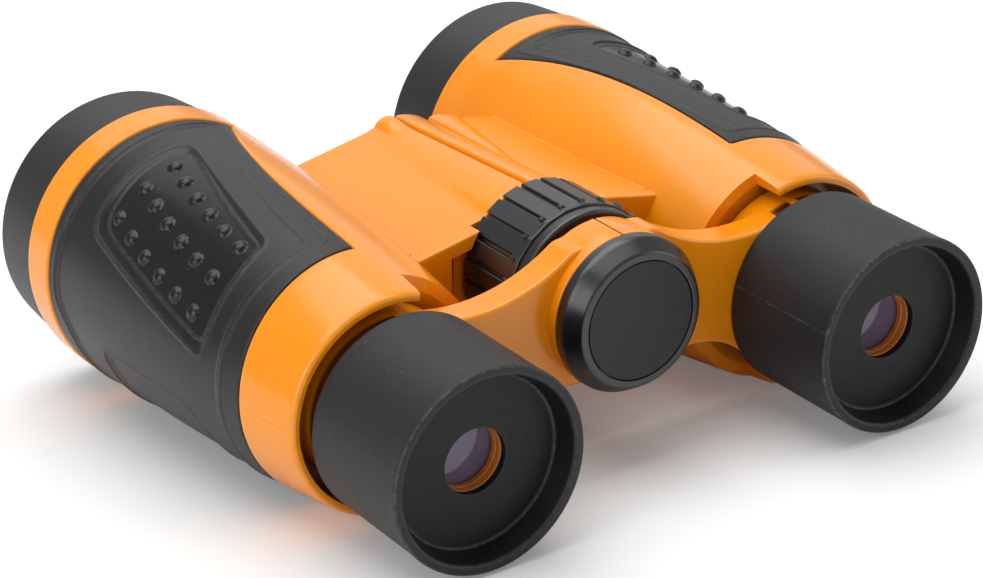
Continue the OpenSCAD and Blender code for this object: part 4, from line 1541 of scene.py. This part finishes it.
    def cheek(self) -> Shell:
        """The wing's overhang beside the wheel and the wall that closes the bridge there.

        Columns run out from the wheel's pocket to inside the barrel. Each is a closed loop of
        (y, height): the wing's top, a rounded rear edge, the rear face and the underside, which
        lies a wall's thickness below the wing, on the pocket's circle near the wheel, or on the
        floor beyond the cheek's edge.

        Returns:
            The closed shell.
        """
        deep = float(self.junction(np.array(self.rear_y))) + self.inside_reach - 1.0
        start = float(self._meets(self.crest, self.pocket_r))
        bend = self.cheek_x + np.array(self.cheek_bend)
        t, closed = table(
            (np.linspace(start, self.pocket_r, 14), 0.0),
            ([self.cheek_middle, self.cheek_x], 0.0),
            (bend, 1.0),
            (np.linspace(self.cheek_x + 0.75, deep, 24), 1.0))
        front, rear = self.rear_y + 0.02, self.cheek_y
        step_in = rear + closed * quarter_round(t - self.cheek_x, self.cheek_round)
        top_front, top_rear = (self.top(t, np.full(len(t), y)) for y in (self.rear_y, rear))
        flat = self.wing(t) - self.wall
        pocket = np.sqrt(np.maximum(self.pocket_r**2 - t**2, 0.0))
        under = np.where(t < self.pocket_r, np.minimum(np.maximum(flat, pocket), top_rear), flat)
        low = np.where(closed > 0.0, self.floor, under)
        lip = np.minimum(self.end_round, 0.5 * (top_rear - under))
        run, draw = (lip * part[:, None] for part in quarter(6))
        middle = (front + rear) / 2.0
        rows = (
            (front, top_front), (middle, (top_front + top_rear) / 2.0), *zip(rear + run, top_rear - draw),
            (rear, under), (step_in, under), (step_in, low), (middle, low), (front, low), (front, under),
            (front, under), (front, top_front))
        loops = [np.stack(np.broadcast_arrays(-t, y, HINGE_Z + z), axis=-1) for y, z in rows]
        points = np.stack(loops, axis=1)
        weight = np.zeros(points.shape[:2])
        # Points 3 to 6 of a loop are the rounded rear edge, 9 and 10 the rear face below it
        weight[:, 3:7] = self.cheek_wear
        weight[(t > self.cheek_x) & (t < bend[-1]), 9:11] = self.cheek_wear
        return Shell(f"{self.side.word}_wheel_cheek").close_ends(Patch(points, weight))

    def knuckle_rings(self) -> Shell:
        """The half's own hinge knuckles, each a turned ring around the hinge tube.

        Returns:
            The closed rings.
        """
        shell = Shell(f"{self.side.word}_knuckles")
        for k in range(self.first_knuckle, self.knuckles, 2):
            y0 = self.rear_y + k * self.knuckle_len + self.knuckle_gap
            y1 = y0 + self.knuckle_len - 2.0 * self.knuckle_gap
            ring = Profile.rounded([(self.tube_r, y0, 0.0), (self.knuckle_r, y0, 0.3),
                                    (self.knuckle_r, y1, 0.3), (self.tube_r, y1, 0.0)], steps=4)
            shell.patches.append(Patch.turned(ring, Turn.HINGE, 72))
        return shell

    def build(self) -> None:
        """Write and dress the half."""
        for part in (self.body(), self.cheek(), self.knuckle_rings()):
            fit(part, self.side, ORANGE, self.side.half, f"{self.side.word}_body")


@dataclass
class EyepieceArm:
    """One sliding eyepiece: the arm, its half of the hub, and the ocular tube."""

    side: Side
    rear_y: float = -26.6
    front_y: float = -22.1
    hub_y: float = -28.0
    split_y: float = -25.05
    split_gap: float = 0.06
    hub_r: float = 9.7
    hub_round: float = 0.25
    hub_wear: float = 0.6
    room_r: float = 6.8
    ring_r: float = 6.2
    ring_round: float = 0.1
    ring_sink: float = 0.1
    sleeve_r: float = 3.06
    ocular_r: float = 11.0
    ocular_front_y: float = -8.35
    ocular_bore_r: float = 6.4
    shade_y: float = -24.4
    spigot_r: float = 9.6
    spigot_y: float = -40.17
    lens_seat_r: float = 7.23
    lens_y: float = -36.77
    top_curve: float = 23.0
    top_dip: float = 1.6
    low_curve: float = 11.0
    low_drop: float = 3.1
    low_from_hub: float = 1.8
    in_hub: float = 0.5
    in_tube: float = 0.1
    hub_start: float = 4.4
    tube_start_r: float = 9.8
    hub_arc_r: float = 8.0
    tube_arc_r: float = 8.6
    arc_points: int = 24
    edge_round: float = 0.45
    edge_wear: float = 0.7

    def outline(self) -> Grid:
        """The waisted arm's closed outline of (distance from the seam, height above the hinge).

        The upper edge is the lower of a line from hub to tube and a circle above the waist; the
        lower edge is the higher of two lines and a circle below it. The ends are arcs that lie
        inside the hub and the tube.

        Returns:
            The outline, with its first point repeated last.
        """
        t = np.linspace(0.0, AXIS_X, 120)
        hub_top = self.hub_r - self.in_hub
        tube_top = self.ocular_r - self.in_tube
        line = hub_top - (AXIS_DROP + hub_top - tube_top) * t / AXIS_X
        waist = (self.hub_r + AXIS_X) / 2.0
        bowl = self.ocular_r - self.top_dip + self.top_curve - AXIS_DROP
        bowl = bowl - np.sqrt(self.top_curve**2 - (t - waist) ** 2)
        upper = self._between(t, -soft_max(-line, -bowl, 0.25))
        low_t = self.hub_r + self.low_from_hub
        knee = -self.low_drop - AXIS_DROP
        outer = knee + (-tube_top - AXIS_DROP - knee) * (t - low_t) / (AXIS_X - low_t)
        inner = knee + (-hub_top - knee) * (low_t - t) / low_t
        arch = knee - self.low_curve + np.sqrt(np.maximum(self.low_curve**2 - (t - low_t) ** 2, 0.0))
        lower = self._between(t, soft_max(np.where(t > low_t, outer, inner), arch, 0.3))
        tube = self._arc(upper[-1], lower[-1], np.array([AXIS_X, -AXIS_DROP]), -self.tube_arc_r)
        hub = self._arc(upper[0], lower[0], np.zeros(2), self.hub_arc_r)
        half = self.arc_points // 2
        over = np.concatenate([hub[:half][::-1], upper, tube[:half]])
        below = np.concatenate([hub[half:], lower, tube[half:][::-1]])
        return np.concatenate([over, below[::-1], over[:1]])

    def _between(self, t: Grid, height: Grid) -> Grid:
        """The stretch of an edge between the hub's and the tube's inner walls, in even steps.

        Args:
            t: Distances from the seam.
            height: The edge's height at each.

        Returns:
            The points of the stretch.
        """
        clear = (t > self.hub_start) & (np.hypot(t - AXIS_X, height + AXIS_DROP) > self.tube_start_r)
        even = np.linspace(t[clear][0], t[clear][-1], 80)
        return np.stack([even, np.interp(even, t[clear], height[clear])], axis=1)

    def _arc(self, start: Grid, end: Grid, centre: Grid, reach: float) -> Grid:
        """Points of an arc that turns evenly from one point's direction to another's about a centre.

        Args:
            start: First point.
            end: Last point.
            centre: The centre.
            reach: The arc's radius, negative where it bulges towards the seam.

        Returns:
            The points of the arc.
        """
        ends = np.stack([start - centre, end - centre])
        turn = np.arctan2(ends[:, 1], ends[:, 0] * np.sign(reach))
        angle = np.linspace(turn[0], turn[1], self.arc_points)
        return centre + np.stack([reach * np.cos(angle), abs(reach) * np.sin(angle)], axis=1)

    def plate(self) -> Shell:
        """The arm: its outline carried along Y, with rounded edges.

        Returns:
            The closed shell.
        """
        ring = self.outline()
        land = self.edge_round + 0.2
        places, depth = rounded_run(self.rear_y, self.front_y, self.edge_round, 6,
                                    (self.rear_y + land, self.front_y - land))
        loops = inset(np.repeat(ring[None], len(places), axis=0), depth)
        edge = self.edge_wear * ((depth > 0.0) & (depth < 0.4))
        return Shell(f"{self.side.word}_arm_plate").close_ends(Patch.stacked(loops, places, edge[:, None]))

    def hub(self) -> Shell:
        """Half of the hub: a C-shaped section from the seam round to the fold's wedge, carried along Y.

        Returns:
            The closed shell.
        """
        steps = 5
        angle = np.linspace(QUARTER_TURN, 3.0 * QUARTER_TURN - FOLD_WEDGE, 72)
        outer = beside_seam(self.hub_r, angle)
        radii = [self.room_r, self.ring_r - self.ring_sink]
        if self.side is Side.RIGHT:
            radii.reverse()
        rings = [np.concatenate([outer, beside_seam(radius, angle[::-1]), outer[:1]])
                 for radius in radii]
        places, depth = rounded_run(self.hub_y, self.front_y, self.hub_round, steps,
                                    (self.split_y, self.split_y))
        loops = inset(np.repeat(rings, steps + 1, axis=0), depth)
        edge = self.hub_wear * (depth > 0.0)
        return Shell(f"{self.side.word}_hub_half").close_ends(Patch.stacked(loops, places, edge[:, None]))

    def hub_ring(self) -> Shell:
        """The ring inside the hub that turns on the spindle's sleeve.

        Returns:
            The closed shell.
        """
        y0, y1 = self.hub_y, self.split_y - self.split_gap
        if self.side is Side.LEFT:
            y0, y1 = self.split_y + self.split_gap, self.front_y
        small = self.ring_round
        profile = Profile.rounded([(self.sleeve_r, y0, small), (self.ring_r, y0, small),
                                   (self.ring_r, y1, small), (self.sleeve_r, y1, small)], steps=3)
        return Shell(f"{self.side.word}_hub_ring", Patch.turned(profile, Turn.HINGE, 72))

    def tube(self) -> Shell:
        """The ocular tube with the spigot for the eyecup, with painted shadow where it lies deep behind the
        collar.

        Returns:
            The closed shell.
        """
        profile = Profile.rounded([
            (self.lens_seat_r, self.spigot_y, 0.1), (self.spigot_r, self.spigot_y, 0.3),
            (self.spigot_r, self.rear_y, 0.0), (self.ocular_r, self.rear_y, 0.3),
            (self.ocular_r, self.shade_y, 0.0), (self.ocular_r, self.shade_y + 1.0, 0.0),
            (self.ocular_r, self.ocular_front_y, 0.4), (self.ocular_bore_r, self.ocular_front_y, 0.2),
            (self.ocular_bore_r, self.lens_y, 0.0), (self.lens_seat_r, self.lens_y, 0.0)])
        # Painted shadow: the stretch behind shade_y takes the dark painted shade colour.
        profile.edge = np.where(profile.points[:, 1] < self.shade_y + 0.5, -1.0, 0.0)
        return Shell(f"{self.side.word}_ocular_tube", Patch.turned(profile, Turn.BARREL, 120))

    def build(self) -> None:
        """Write and dress the arm's parts."""
        for part in (self.plate(), self.hub(), self.hub_ring(), self.tube()):
            fit(part, self.side, ORANGE, self.side.eyepiece, f"{self.side.word}_eyepiece_arm")


@dataclass
class Eyecup:
    """The soft-edged cup at the eye: sleeve, recess, eye hole, amber ring and lens."""

    side: Side
    front_y: float = -26.63
    rim_y: float = -44.3
    outer_r: float = 12.4
    rim_width: float = 1.05
    floor_y: float = -41.2
    floor_r: float = 10.55
    floor_thick: float = 1.0
    hole_r: float = 4.0
    bore_r: float = 9.63
    ring_bore_r: float = 3.9
    ring_r: float = 7.2
    ring_y: float = -38.37
    seat_gap: float = 0.03
    lens_front_y: float = -36.8
    lens_face_r: float = 6.28
    lens_hollow: float = 0.4
    parting_angle: float = 16.0
    parting_rise: float = 0.04

    def cup(self) -> Shell:
        """The cup as a turned profile: straight outside, a rolled rim, a leaning wall and a flat floor, with
        painted shade inside the rim.

        Returns:
            The closed shell.
        """
        inside = self.floor_y + self.floor_thick
        rim_r = self.outer_r - self.rim_width
        profile = Profile.rounded([
            (self.bore_r, self.front_y, 0.1), (self.outer_r, self.front_y, 0.35),
            (self.outer_r, self.rim_y + 1.5, 0.6), (self.outer_r + 0.08, self.rim_y + 0.5, 0.3),
            (self.outer_r + 0.02, self.rim_y, 0.34), (rim_r, self.rim_y, 0.4),
            (self.floor_r, self.floor_y, 0.28), (self.hole_r, self.floor_y, 0.16),
            (self.hole_r, inside, 0.1), (self.bore_r, inside, 0.0)],
            steps=7, wear=(0.0, 0.2, 0.0, 0.0, 1.0, 0.35, 0.5, 0.15, 0.0, 0.0))
        # Painted shade: the cup's inner wall and floor take the dark painted shade colour.
        inner = (profile.points[:, 0] < rim_r + 0.1) & (profile.edge == 0.0)
        profile.edge = np.where(inner, -1.0, profile.edge)
        patch = Patch.turned(profile, Turn.BARREL, 144, self.parting_angle, self.parting_rise)
        return Shell(f"{self.side.word}_eyecup_sleeve", patch)

    def ring(self) -> Profile:
        """The amber ring behind the eye hole: a bore with a fine step around it.

        Returns:
            The profile.
        """
        rear = self.floor_y + self.floor_thick + self.seat_gap
        middle = (rear + self.ring_y) / 2.0
        bore = self.ring_bore_r
        return Profile.rounded([
            (bore + 0.05, rear, 0.15), (self.ring_r, rear, 0.1), (self.ring_r, self.ring_y, 0.1),
            (bore, self.ring_y, 0.1), (bore, middle + 0.18, 0.08), (bore + 0.14, middle + 0.05, 0.06),
            (bore + 0.05, middle - 0.12, 0.08)], steps=4)

    def lens(self) -> Profile:
        """The eye lens: two hollow faces that sink by the square of the way in from the rim."""
        r = np.linspace(0.0, self.lens_face_r, 20)
        return Profile.lens(r, self.lens_hollow * ((r / self.lens_face_r) ** 2 - 1.0), self.ring_r,
                            self.ring_y + self.seat_gap, self.lens_front_y)

    def build(self) -> None:
        """Write and dress the cup, its ring and its lens."""
        word, body = self.side.word, self.side.eyepiece
        fit(self.cup(), self.side, CUP, body, f"{word}_eyecup")
        turned_piece(f"{word}_amber_ring", self.ring(), Turn.BARREL, 96, self.side, AMBER, body,
                     f"{word}_eye_lens_ring")
        turned_piece(f"{word}_eye_glass", self.lens(), Turn.BARREL, 72, self.side, EYE_GLASS, body,
                     f"{word}_eye_lens")


@dataclass
class FocusWheel:
    """The ridged wheel: flat facets with narrow grooves between them and a smooth rear ring.

    Its edges are tables of points: for the rear and the front the way in along the axis and the
    drop; for the lip the way forward, the share of the rise and the share of the facets.
    """

    rear_y: float = -21.2
    rear_face: tuple[float, float] = (0.6, 0.34)
    rear_edge: Pairs = ((0.04, 0.2), (0.15, 0.07), (0.3, 0.0))
    rear_wear: float = 0.5
    front_y: float = -9.3
    front_edge: Pairs = (
        (0.45, 0.0), (0.3, 0.02), (0.12, 0.12), (0.03, 0.26), (0.0, 0.42))
    outer_r: float = 10.5
    grooves: int = 23
    groove_width: float = 0.6
    groove_depth: float = 0.5
    groove_start: float = 69.8
    groove_end: float = 0.55
    lip_y: float = -19.5
    lip_r: float = 10.15
    lip_edge: Triples = ((0.0, 0.35, 0.0), (0.05, 0.7, 0.3), (0.14, 0.92, 0.7), (0.26, 1.0, 1.0))
    groove_ramp: float = 0.35
    channel_flat: float = 0.55
    channel_ramp: float = 0.75
    nub_len: float = 0.9
    nub_rise: float = 0.78
    nub_flat: float = 0.7
    nub_ramp: float = 0.5
    nub_lead: float = 0.25
    nub_tail: float = 0.3
    shoulder_wear: float = 0.5
    nub_wear: float = 0.6
    bore_r: float = 3.46
    nut_r: float = 5.5
    shoulder_y: float = -14.88
    groove_samples: int = 15
    facet_samples: int = 13

    def _around(self) -> tuple[Grid, Grid]:
        """Angles around the wheel, close together in the grooves.

        Returns:
            The angles in radians, and how far each is from the nearest corner.
        """
        pitch = FULL_TURN / self.grooves
        half = self.groove_width / 2.0 / self.outer_r
        fine = np.concatenate([np.linspace(-1.6, 1.6, self.groove_samples) * half,
                               np.linspace(1.9 * half, pitch - 1.9 * half, self.facet_samples)])
        around = (fine + pitch * np.arange(self.grooves)[:, None]).ravel()
        around = np.append(around, around[0] + FULL_TURN)
        local = np.append(np.tile(fine, self.grooves), fine[0])
        return math.radians(self.groove_start) + around, np.minimum(np.abs(local), np.abs(local - pitch))

    def _rows(self) -> Grid:
        """Rows from the bore over the rear face, the lip and the facets to the front face.

        Returns:
            For each row: its Y, its radius, the share of the facets in it and its wear.
        """
        rear_at, rear_drop = np.array(self.rear_edge).T
        lip_at, lip_rise, lip_facet = np.array(self.lip_edge).T
        front_at, front_drop = np.array(self.front_edge).T
        lip = self.lip_r
        return table(
            (self.shoulder_y, [self.bore_r, self.nut_r], 0.0, 0.0),
            (self.rear_y, self.nut_r, 0.0, 0.0),
            (self.rear_y, lip - np.array(self.rear_face), 0.0, 0.0),
            (self.rear_y + rear_at, lip - rear_drop, 0.0, self.rear_wear),
            ([self.rear_y + 0.5, self.lip_y - 0.2, self.lip_y - 0.05, self.lip_y], lip, 0.0, 0.0),
            (self.lip_y + lip_at, lip + (self.outer_r - lip) * lip_rise, lip_facet, 0.0),
            (np.linspace(self.lip_y + 0.4, self.lip_y + 2.4, 21), self.outer_r, 1.0, 0.0),
            ([self.lip_y + 5.0, self.lip_y + 8.5, self.front_y - 0.7], self.outer_r, 1.0, 0.0),
            (self.front_y - front_at, self.outer_r - front_drop, 1.0, 0.0),
            (self.front_y, [self.bore_r + 0.3, self.bore_r], 0.0, 0.0),
            (self.shoulder_y, self.bore_r, 0.0, 0.0))

    def surface(self) -> Patch:
        """The wheel as radius over angle and place.

        Each facet is a chord, so its radius is the corner's radius times the cosine of half a
        facet over the cosine of the angle from its middle. A groove takes off a rounded channel
        at each corner, and a nub fills the groove's rear end.

        Returns:
            The grid, closed around the hinge.
        """
        angle, from_corner = self._around()
        y, base, ridged, worn = self._rows()[:, :, None]
        half_pitch = math.pi / self.grooves
        chord = math.cos(half_pitch) / np.cos(half_pitch - from_corner)
        beside = from_corner / (self.groove_width / 2.0 / self.outer_r)
        channel = 1.0 - soft_step((beside - self.channel_flat) / self.channel_ramp)
        narrow = 1.0 - soft_step((beside - self.nub_flat) / self.nub_ramp)
        into = y - self.lip_y - self.groove_end
        opened = soft_step(into / self.groove_ramp) * ridged
        nub = soft_step(into / self.nub_lead) * (1.0 - soft_step((into - self.nub_len) / self.nub_tail))
        nub = nub * narrow * ridged
        radius = base * (1.0 + ridged * (chord - 1.0))
        radius = radius - self.groove_depth * channel * opened + self.nub_rise * nub
        shoulder = (channel > 0.02) & (channel < 0.6)
        edge = np.maximum(self.shoulder_wear * shoulder * opened + self.nub_wear * nub, worn)
        return Patch(Turn.HINGE.at(angle, y, radius), edge)

    def build(self) -> None:
        """Write and dress the wheel."""
        fit(Shell("ridged_focus_wheel", self.surface()), Side.LEFT, BLACK, "wheel", "focus_wheel")


@dataclass
class HubCap:
    """The bevelled cap behind the hub and the disc set into it."""

    front_y: float = -28.12
    rear_y: float = -31.72
    side_y: float = -29.52
    outer_r: float = 9.8
    bevel: float = 1.35
    disc_r: float = 7.4
    disc_gap: float = 0.13
    disc_y: float = -31.02
    disc_flat: float = 0.35
    disc_dish: float = 0.03
    disc_sunk: float = 0.02
    seat_gap: float = 0.03
    web_y: float = -28.62
    washer_r: float = 5.63
    head_r: float = 2.03
    head_y: float = -30.19
    shank_r: float = 0.93

    def cap(self) -> Profile:
        """The cap: a short side, a broad bevel, a flat land and a groove for the disc."""
        groove_r = self.disc_r + self.disc_gap
        return Profile.rounded([
            (self.washer_r, self.front_y, 0.05), (self.outer_r, self.front_y, 0.2),
            (self.outer_r, self.side_y, 0.4), (self.outer_r - self.bevel, self.rear_y, 0.28),
            (groove_r, self.rear_y, 0.1), (groove_r, self.disc_y, 0.0), (self.head_r, self.disc_y, 0.0),
            (self.head_r, self.head_y, 0.0), (self.shank_r, self.head_y, 0.0),
            (self.shank_r, self.web_y, 0.0), (self.washer_r, self.web_y, 0.0)])

    def disc(self) -> Profile:
        """The matte disc, with a soft edge and the faintest dish.

        Returns:
            The profile.
        """
        rear = self.rear_y + self.disc_sunk
        front = self.disc_y - self.seat_gap
        r = np.linspace(0.0, self.disc_r - self.disc_flat, 14)
        dish = np.stack([r, rear + self.disc_dish * (1.0 - (r / self.disc_r) ** 2)], axis=1)
        rim = Profile.rounded([(self.disc_r - self.disc_flat, rear, 0.0), (self.disc_r, rear, 0.16),
                               (self.disc_r, front, 0.0), (0.0, front, 0.0)], closed=False)
        return Profile(np.concatenate([dish, rim.points]), np.concatenate([np.zeros(len(dish)), rim.edge]))

    def build(self) -> None:
        """Write and dress the cap and the disc."""
        body = Side.LEFT.eyepiece
        turned_piece("bevelled_hub_cap", self.cap(), Turn.HINGE, 144, Side.LEFT, BLACK, body, "hub_cap")
        turned_piece("hub_disc", self.disc(), Turn.HINGE, 120, Side.LEFT, DARK, body, "hub_cap_disc")


@dataclass
class HingePlug:
    """The plug in the front of the hinge tube: a soft-edged head with a shallow dimple."""

    rear_y: float = 21.41
    front_y: float = 22.38
    head_r: float = 5.6
    stem_r: float = 2.47
    stem_y: float = 17.38
    dimple_r: float = 2.2
    dimple: float = 0.3

    def build(self) -> None:
        """Write and dress the plug as a turned profile from its stem to the middle of its dimple."""
        profile = Profile.rounded([
            (0.0, self.stem_y, 0.0), (self.stem_r, self.stem_y, 0.3), (self.stem_r, self.rear_y, 0.0),
            (self.head_r, self.rear_y, 0.12), (self.head_r, self.front_y, 0.4),
            (self.dimple_r + 0.4, self.front_y, 0.25), (self.dimple_r, self.front_y - self.dimple, 0.25),
            (0.0, self.front_y - self.dimple, 0.0)], closed=False)
        turned_piece("front_hinge_plug", profile, Turn.HINGE, 72, Side.LEFT, ORANGE, Side.LEFT.half,
                     "hinge_plug")


class Hardware:
    """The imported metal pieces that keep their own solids, with the finish of each."""

    finishes: ClassVar[dict[str, Finish]] = {
        "hinge_tube": STEEL, "wheel_clip": STEEL, "focus_spindle": STEEL, "friction_washer": STEEL,
        "hub_screw": STEEL, "drive_nut": BRASS}

    def build(self) -> None:
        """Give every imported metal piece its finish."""
        for name, finish in self.finishes.items():
            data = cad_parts[name].data
            data.materials.clear()
            data.materials.append(finish.material())
            LOG.info("%s: packed solid in %s", name, finish.name)


@dataclass(frozen=True)
class Lamp:
    """A soft rectangular lamp, with its place and size in metres and its power in watts."""

    name: str
    at: Triple
    size: tuple[float, float]
    power: float

    def hang(self, target: Triple) -> None:
        """Hang the lamp so that it faces a point.

        Args:
            target: The point, in metres.
        """
        data = bpy.data.lights.new(self.name, "AREA")
        data.shape = "RECTANGLE"
        data.size, data.size_y = self.size
        data.energy = self.power
        made = bpy.data.objects.new(self.name, data)
        made.location = self.at
        made.rotation_euler = (Vector(target) - Vector(self.at)).to_track_quat("-Z", "Y").to_euler()
        bpy.context.scene.collection.objects.link(made)


LAMPS = (
    Lamp("overhead_softbox", (-0.05, 0.18, 0.75), (0.9, 0.7), 4.6),
    Lamp("left_softbox", (-0.8, -0.1, 0.35), (0.5, 0.6), 2.0),
    Lamp("right_softbox", (0.8, -0.35, 0.35), (0.5, 0.6), 1.2),
    Lamp("back_softbox", (0.45, 0.85, 0.55), (1.3, 0.7), 1.7))


@dataclass
class Studio:
    """Floor, soft lamps, white surround and the camera."""

    floor_y: float = -0.7
    floor_z: float = 1.4
    floor_slope: float = -0.082
    floor_half: float = 3000.0
    floor_tones: tuple[float, float] = (0.9, 0.89)
    floor_patch: float = 3.0
    floor_rough: float = 0.9
    floor_specular: float = 0.1
    glow_near: float = 0.12
    glow_far: float = 0.6
    glow_start: float = 0.2
    glow_rise: float = 2.0
    lamp_target: Triple = (0.0, 0.0, 0.018)
    surround_light: float = 0.42
    mirror_dimming: float = 0.06
    camera_at: Triple = (-187.84, -287.34, 173.0)
    camera_right: Triple = (0.83267, -0.55351, -0.01714)
    camera_up: Triple = (0.24387, 0.33871, 0.90874)
    camera_back: Triple = (-0.49719, -0.76086, 0.41702)
    lens_mm: float = 110.15
    sensor_mm: float = 36.0
    clip: tuple[float, float] = (0.005, 50.0)

    def floor(self) -> None:
        """A pale floor, sloped as the part rests on it, clear from below.

        To the camera alone it glows a little, more with distance, so that it ends in white.
        """
        paint = bpy.data.materials.new("pale_floor")
        paint.use_nodes = True
        sheet = Sheet(paint.node_tree)
        skin = paint.node_tree.nodes["Principled BSDF"]
        tone, other_tone = ((grey, grey, grey, 1.0) for grey in self.floor_tones)
        tones = Effect.use(sheet, Effect.tone_drift(), Tone=tone, Other_Tone=other_tone,
                           Patch_Scale=self.floor_patch)
        away = sheet.add("VectorMath", operation="LENGTH")
        sheet.put(sheet.place(), away.inputs[0])
        far = sheet.math("MULTIPLY_ADD", away.outputs["Value"], self.glow_rise,
                         -self.glow_rise * self.glow_start, clamp=True)
        glow = sheet.math("MULTIPLY_ADD", far, self.glow_far, self.glow_near)
        seen = sheet.add("LightPath").outputs["Is Camera Ray"]
        for name, value in {
                "Base Color": tones["Colour"], "Roughness": self.floor_rough,
                "Specular IOR Level": self.floor_specular,
                "Emission Color": (1.0, 1.0, 1.0, 1.0),
                "Emission Strength": sheet.math("MULTIPLY", seen, glow)}.items():
            sheet.put(value, skin.inputs[name])
        pick = sheet.add("MixShader")
        clear = sheet.add("BsdfTransparent")
        below = sheet.add("NewGeometry").outputs["Backfacing"]
        for slot, value in zip(pick.inputs, (below, skin.outputs[0], clear.outputs[0])):
            sheet.put(value, slot)
        sheet.put(pick.outputs[0], paint.node_tree.nodes["Material Output"].inputs["Surface"])
        span = np.array([-1.0, 1.0]) * self.floor_half
        x, y = np.meshgrid(span, span, indexing="ij")
        z = self.floor_z + self.floor_slope * (y - self.floor_y)
        points = np.stack([x, y, z], axis=-1).reshape(-1, 3) * MM
        mesh = bpy.data.meshes.new("studio_floor")
        mesh.from_pydata(points.tolist(), [], [(0, 2, 3, 1)])
        mesh.materials.append(paint)
        made = bpy.data.objects.new("studio_floor", mesh)
        bpy.context.scene.collection.objects.link(made)

    def surround(self) -> None:
        """A dim even surround, dimmer in mirrors, that reads as white to the camera and through glass."""
        world = bpy.data.worlds.new("studio_surround")
        bpy.context.scene.world = world
        world.use_nodes = True
        sheet = Sheet(world.node_tree)
        light = world.node_tree.nodes["Background"].inputs
        path = sheet.add("LightPath").outputs
        seen = sheet.math("MAXIMUM", path["Is Camera Ray"], path["Is Transmission Ray"])
        shown = sheet.math("MULTIPLY_ADD", path["Is Glossy Ray"], -self.mirror_dimming, self.surround_light)
        sheet.put((1.0, 1.0, 1.0, 1.0), light["Color"])
        sheet.put(sheet.math("MAXIMUM", seen, shown), light["Strength"])

    def camera(self) -> None:
        """The camera at the photograph's place, from its fitted axes."""
        data = bpy.data.cameras.new("photo_camera")
        data.lens = self.lens_mm
        data.sensor_width = self.sensor_mm
        data.sensor_fit = "HORIZONTAL"
        data.clip_start, data.clip_end = self.clip
        made = bpy.data.objects.new("photo_camera", data)
        axes = Matrix((self.camera_right, self.camera_up, self.camera_back)).transposed()
        made.matrix_world = Matrix.Translation(Vector(self.camera_at) * MM) @ axes.to_4x4()
        bpy.context.scene.collection.objects.link(made)
        bpy.context.scene.camera = made

    def build(self) -> None:
        """Set up the studio."""
        self.floor()
        for lamp in LAMPS:
            lamp.hang(self.lamp_target)
        self.surround()
        self.camera()
        bpy.context.scene.view_settings.view_transform = "Standard"


def main() -> None:
    """Build the binoculars and the studio."""
    logging.basicConfig(level=logging.INFO, format="%(message)s")
    for side in Side:
        barrel = Barrel(side)
        barrel.build()
        Grip(barrel).build()
        Objective(side).build()
        Bridge(barrel).build()
        EyepieceArm(side).build()
        Eyecup(side).build()
    FocusWheel().build()
    HubCap().build()
    HingePlug().build()
    Hardware().build()
    Studio().build()


if __name__ == "__main__":
    main()
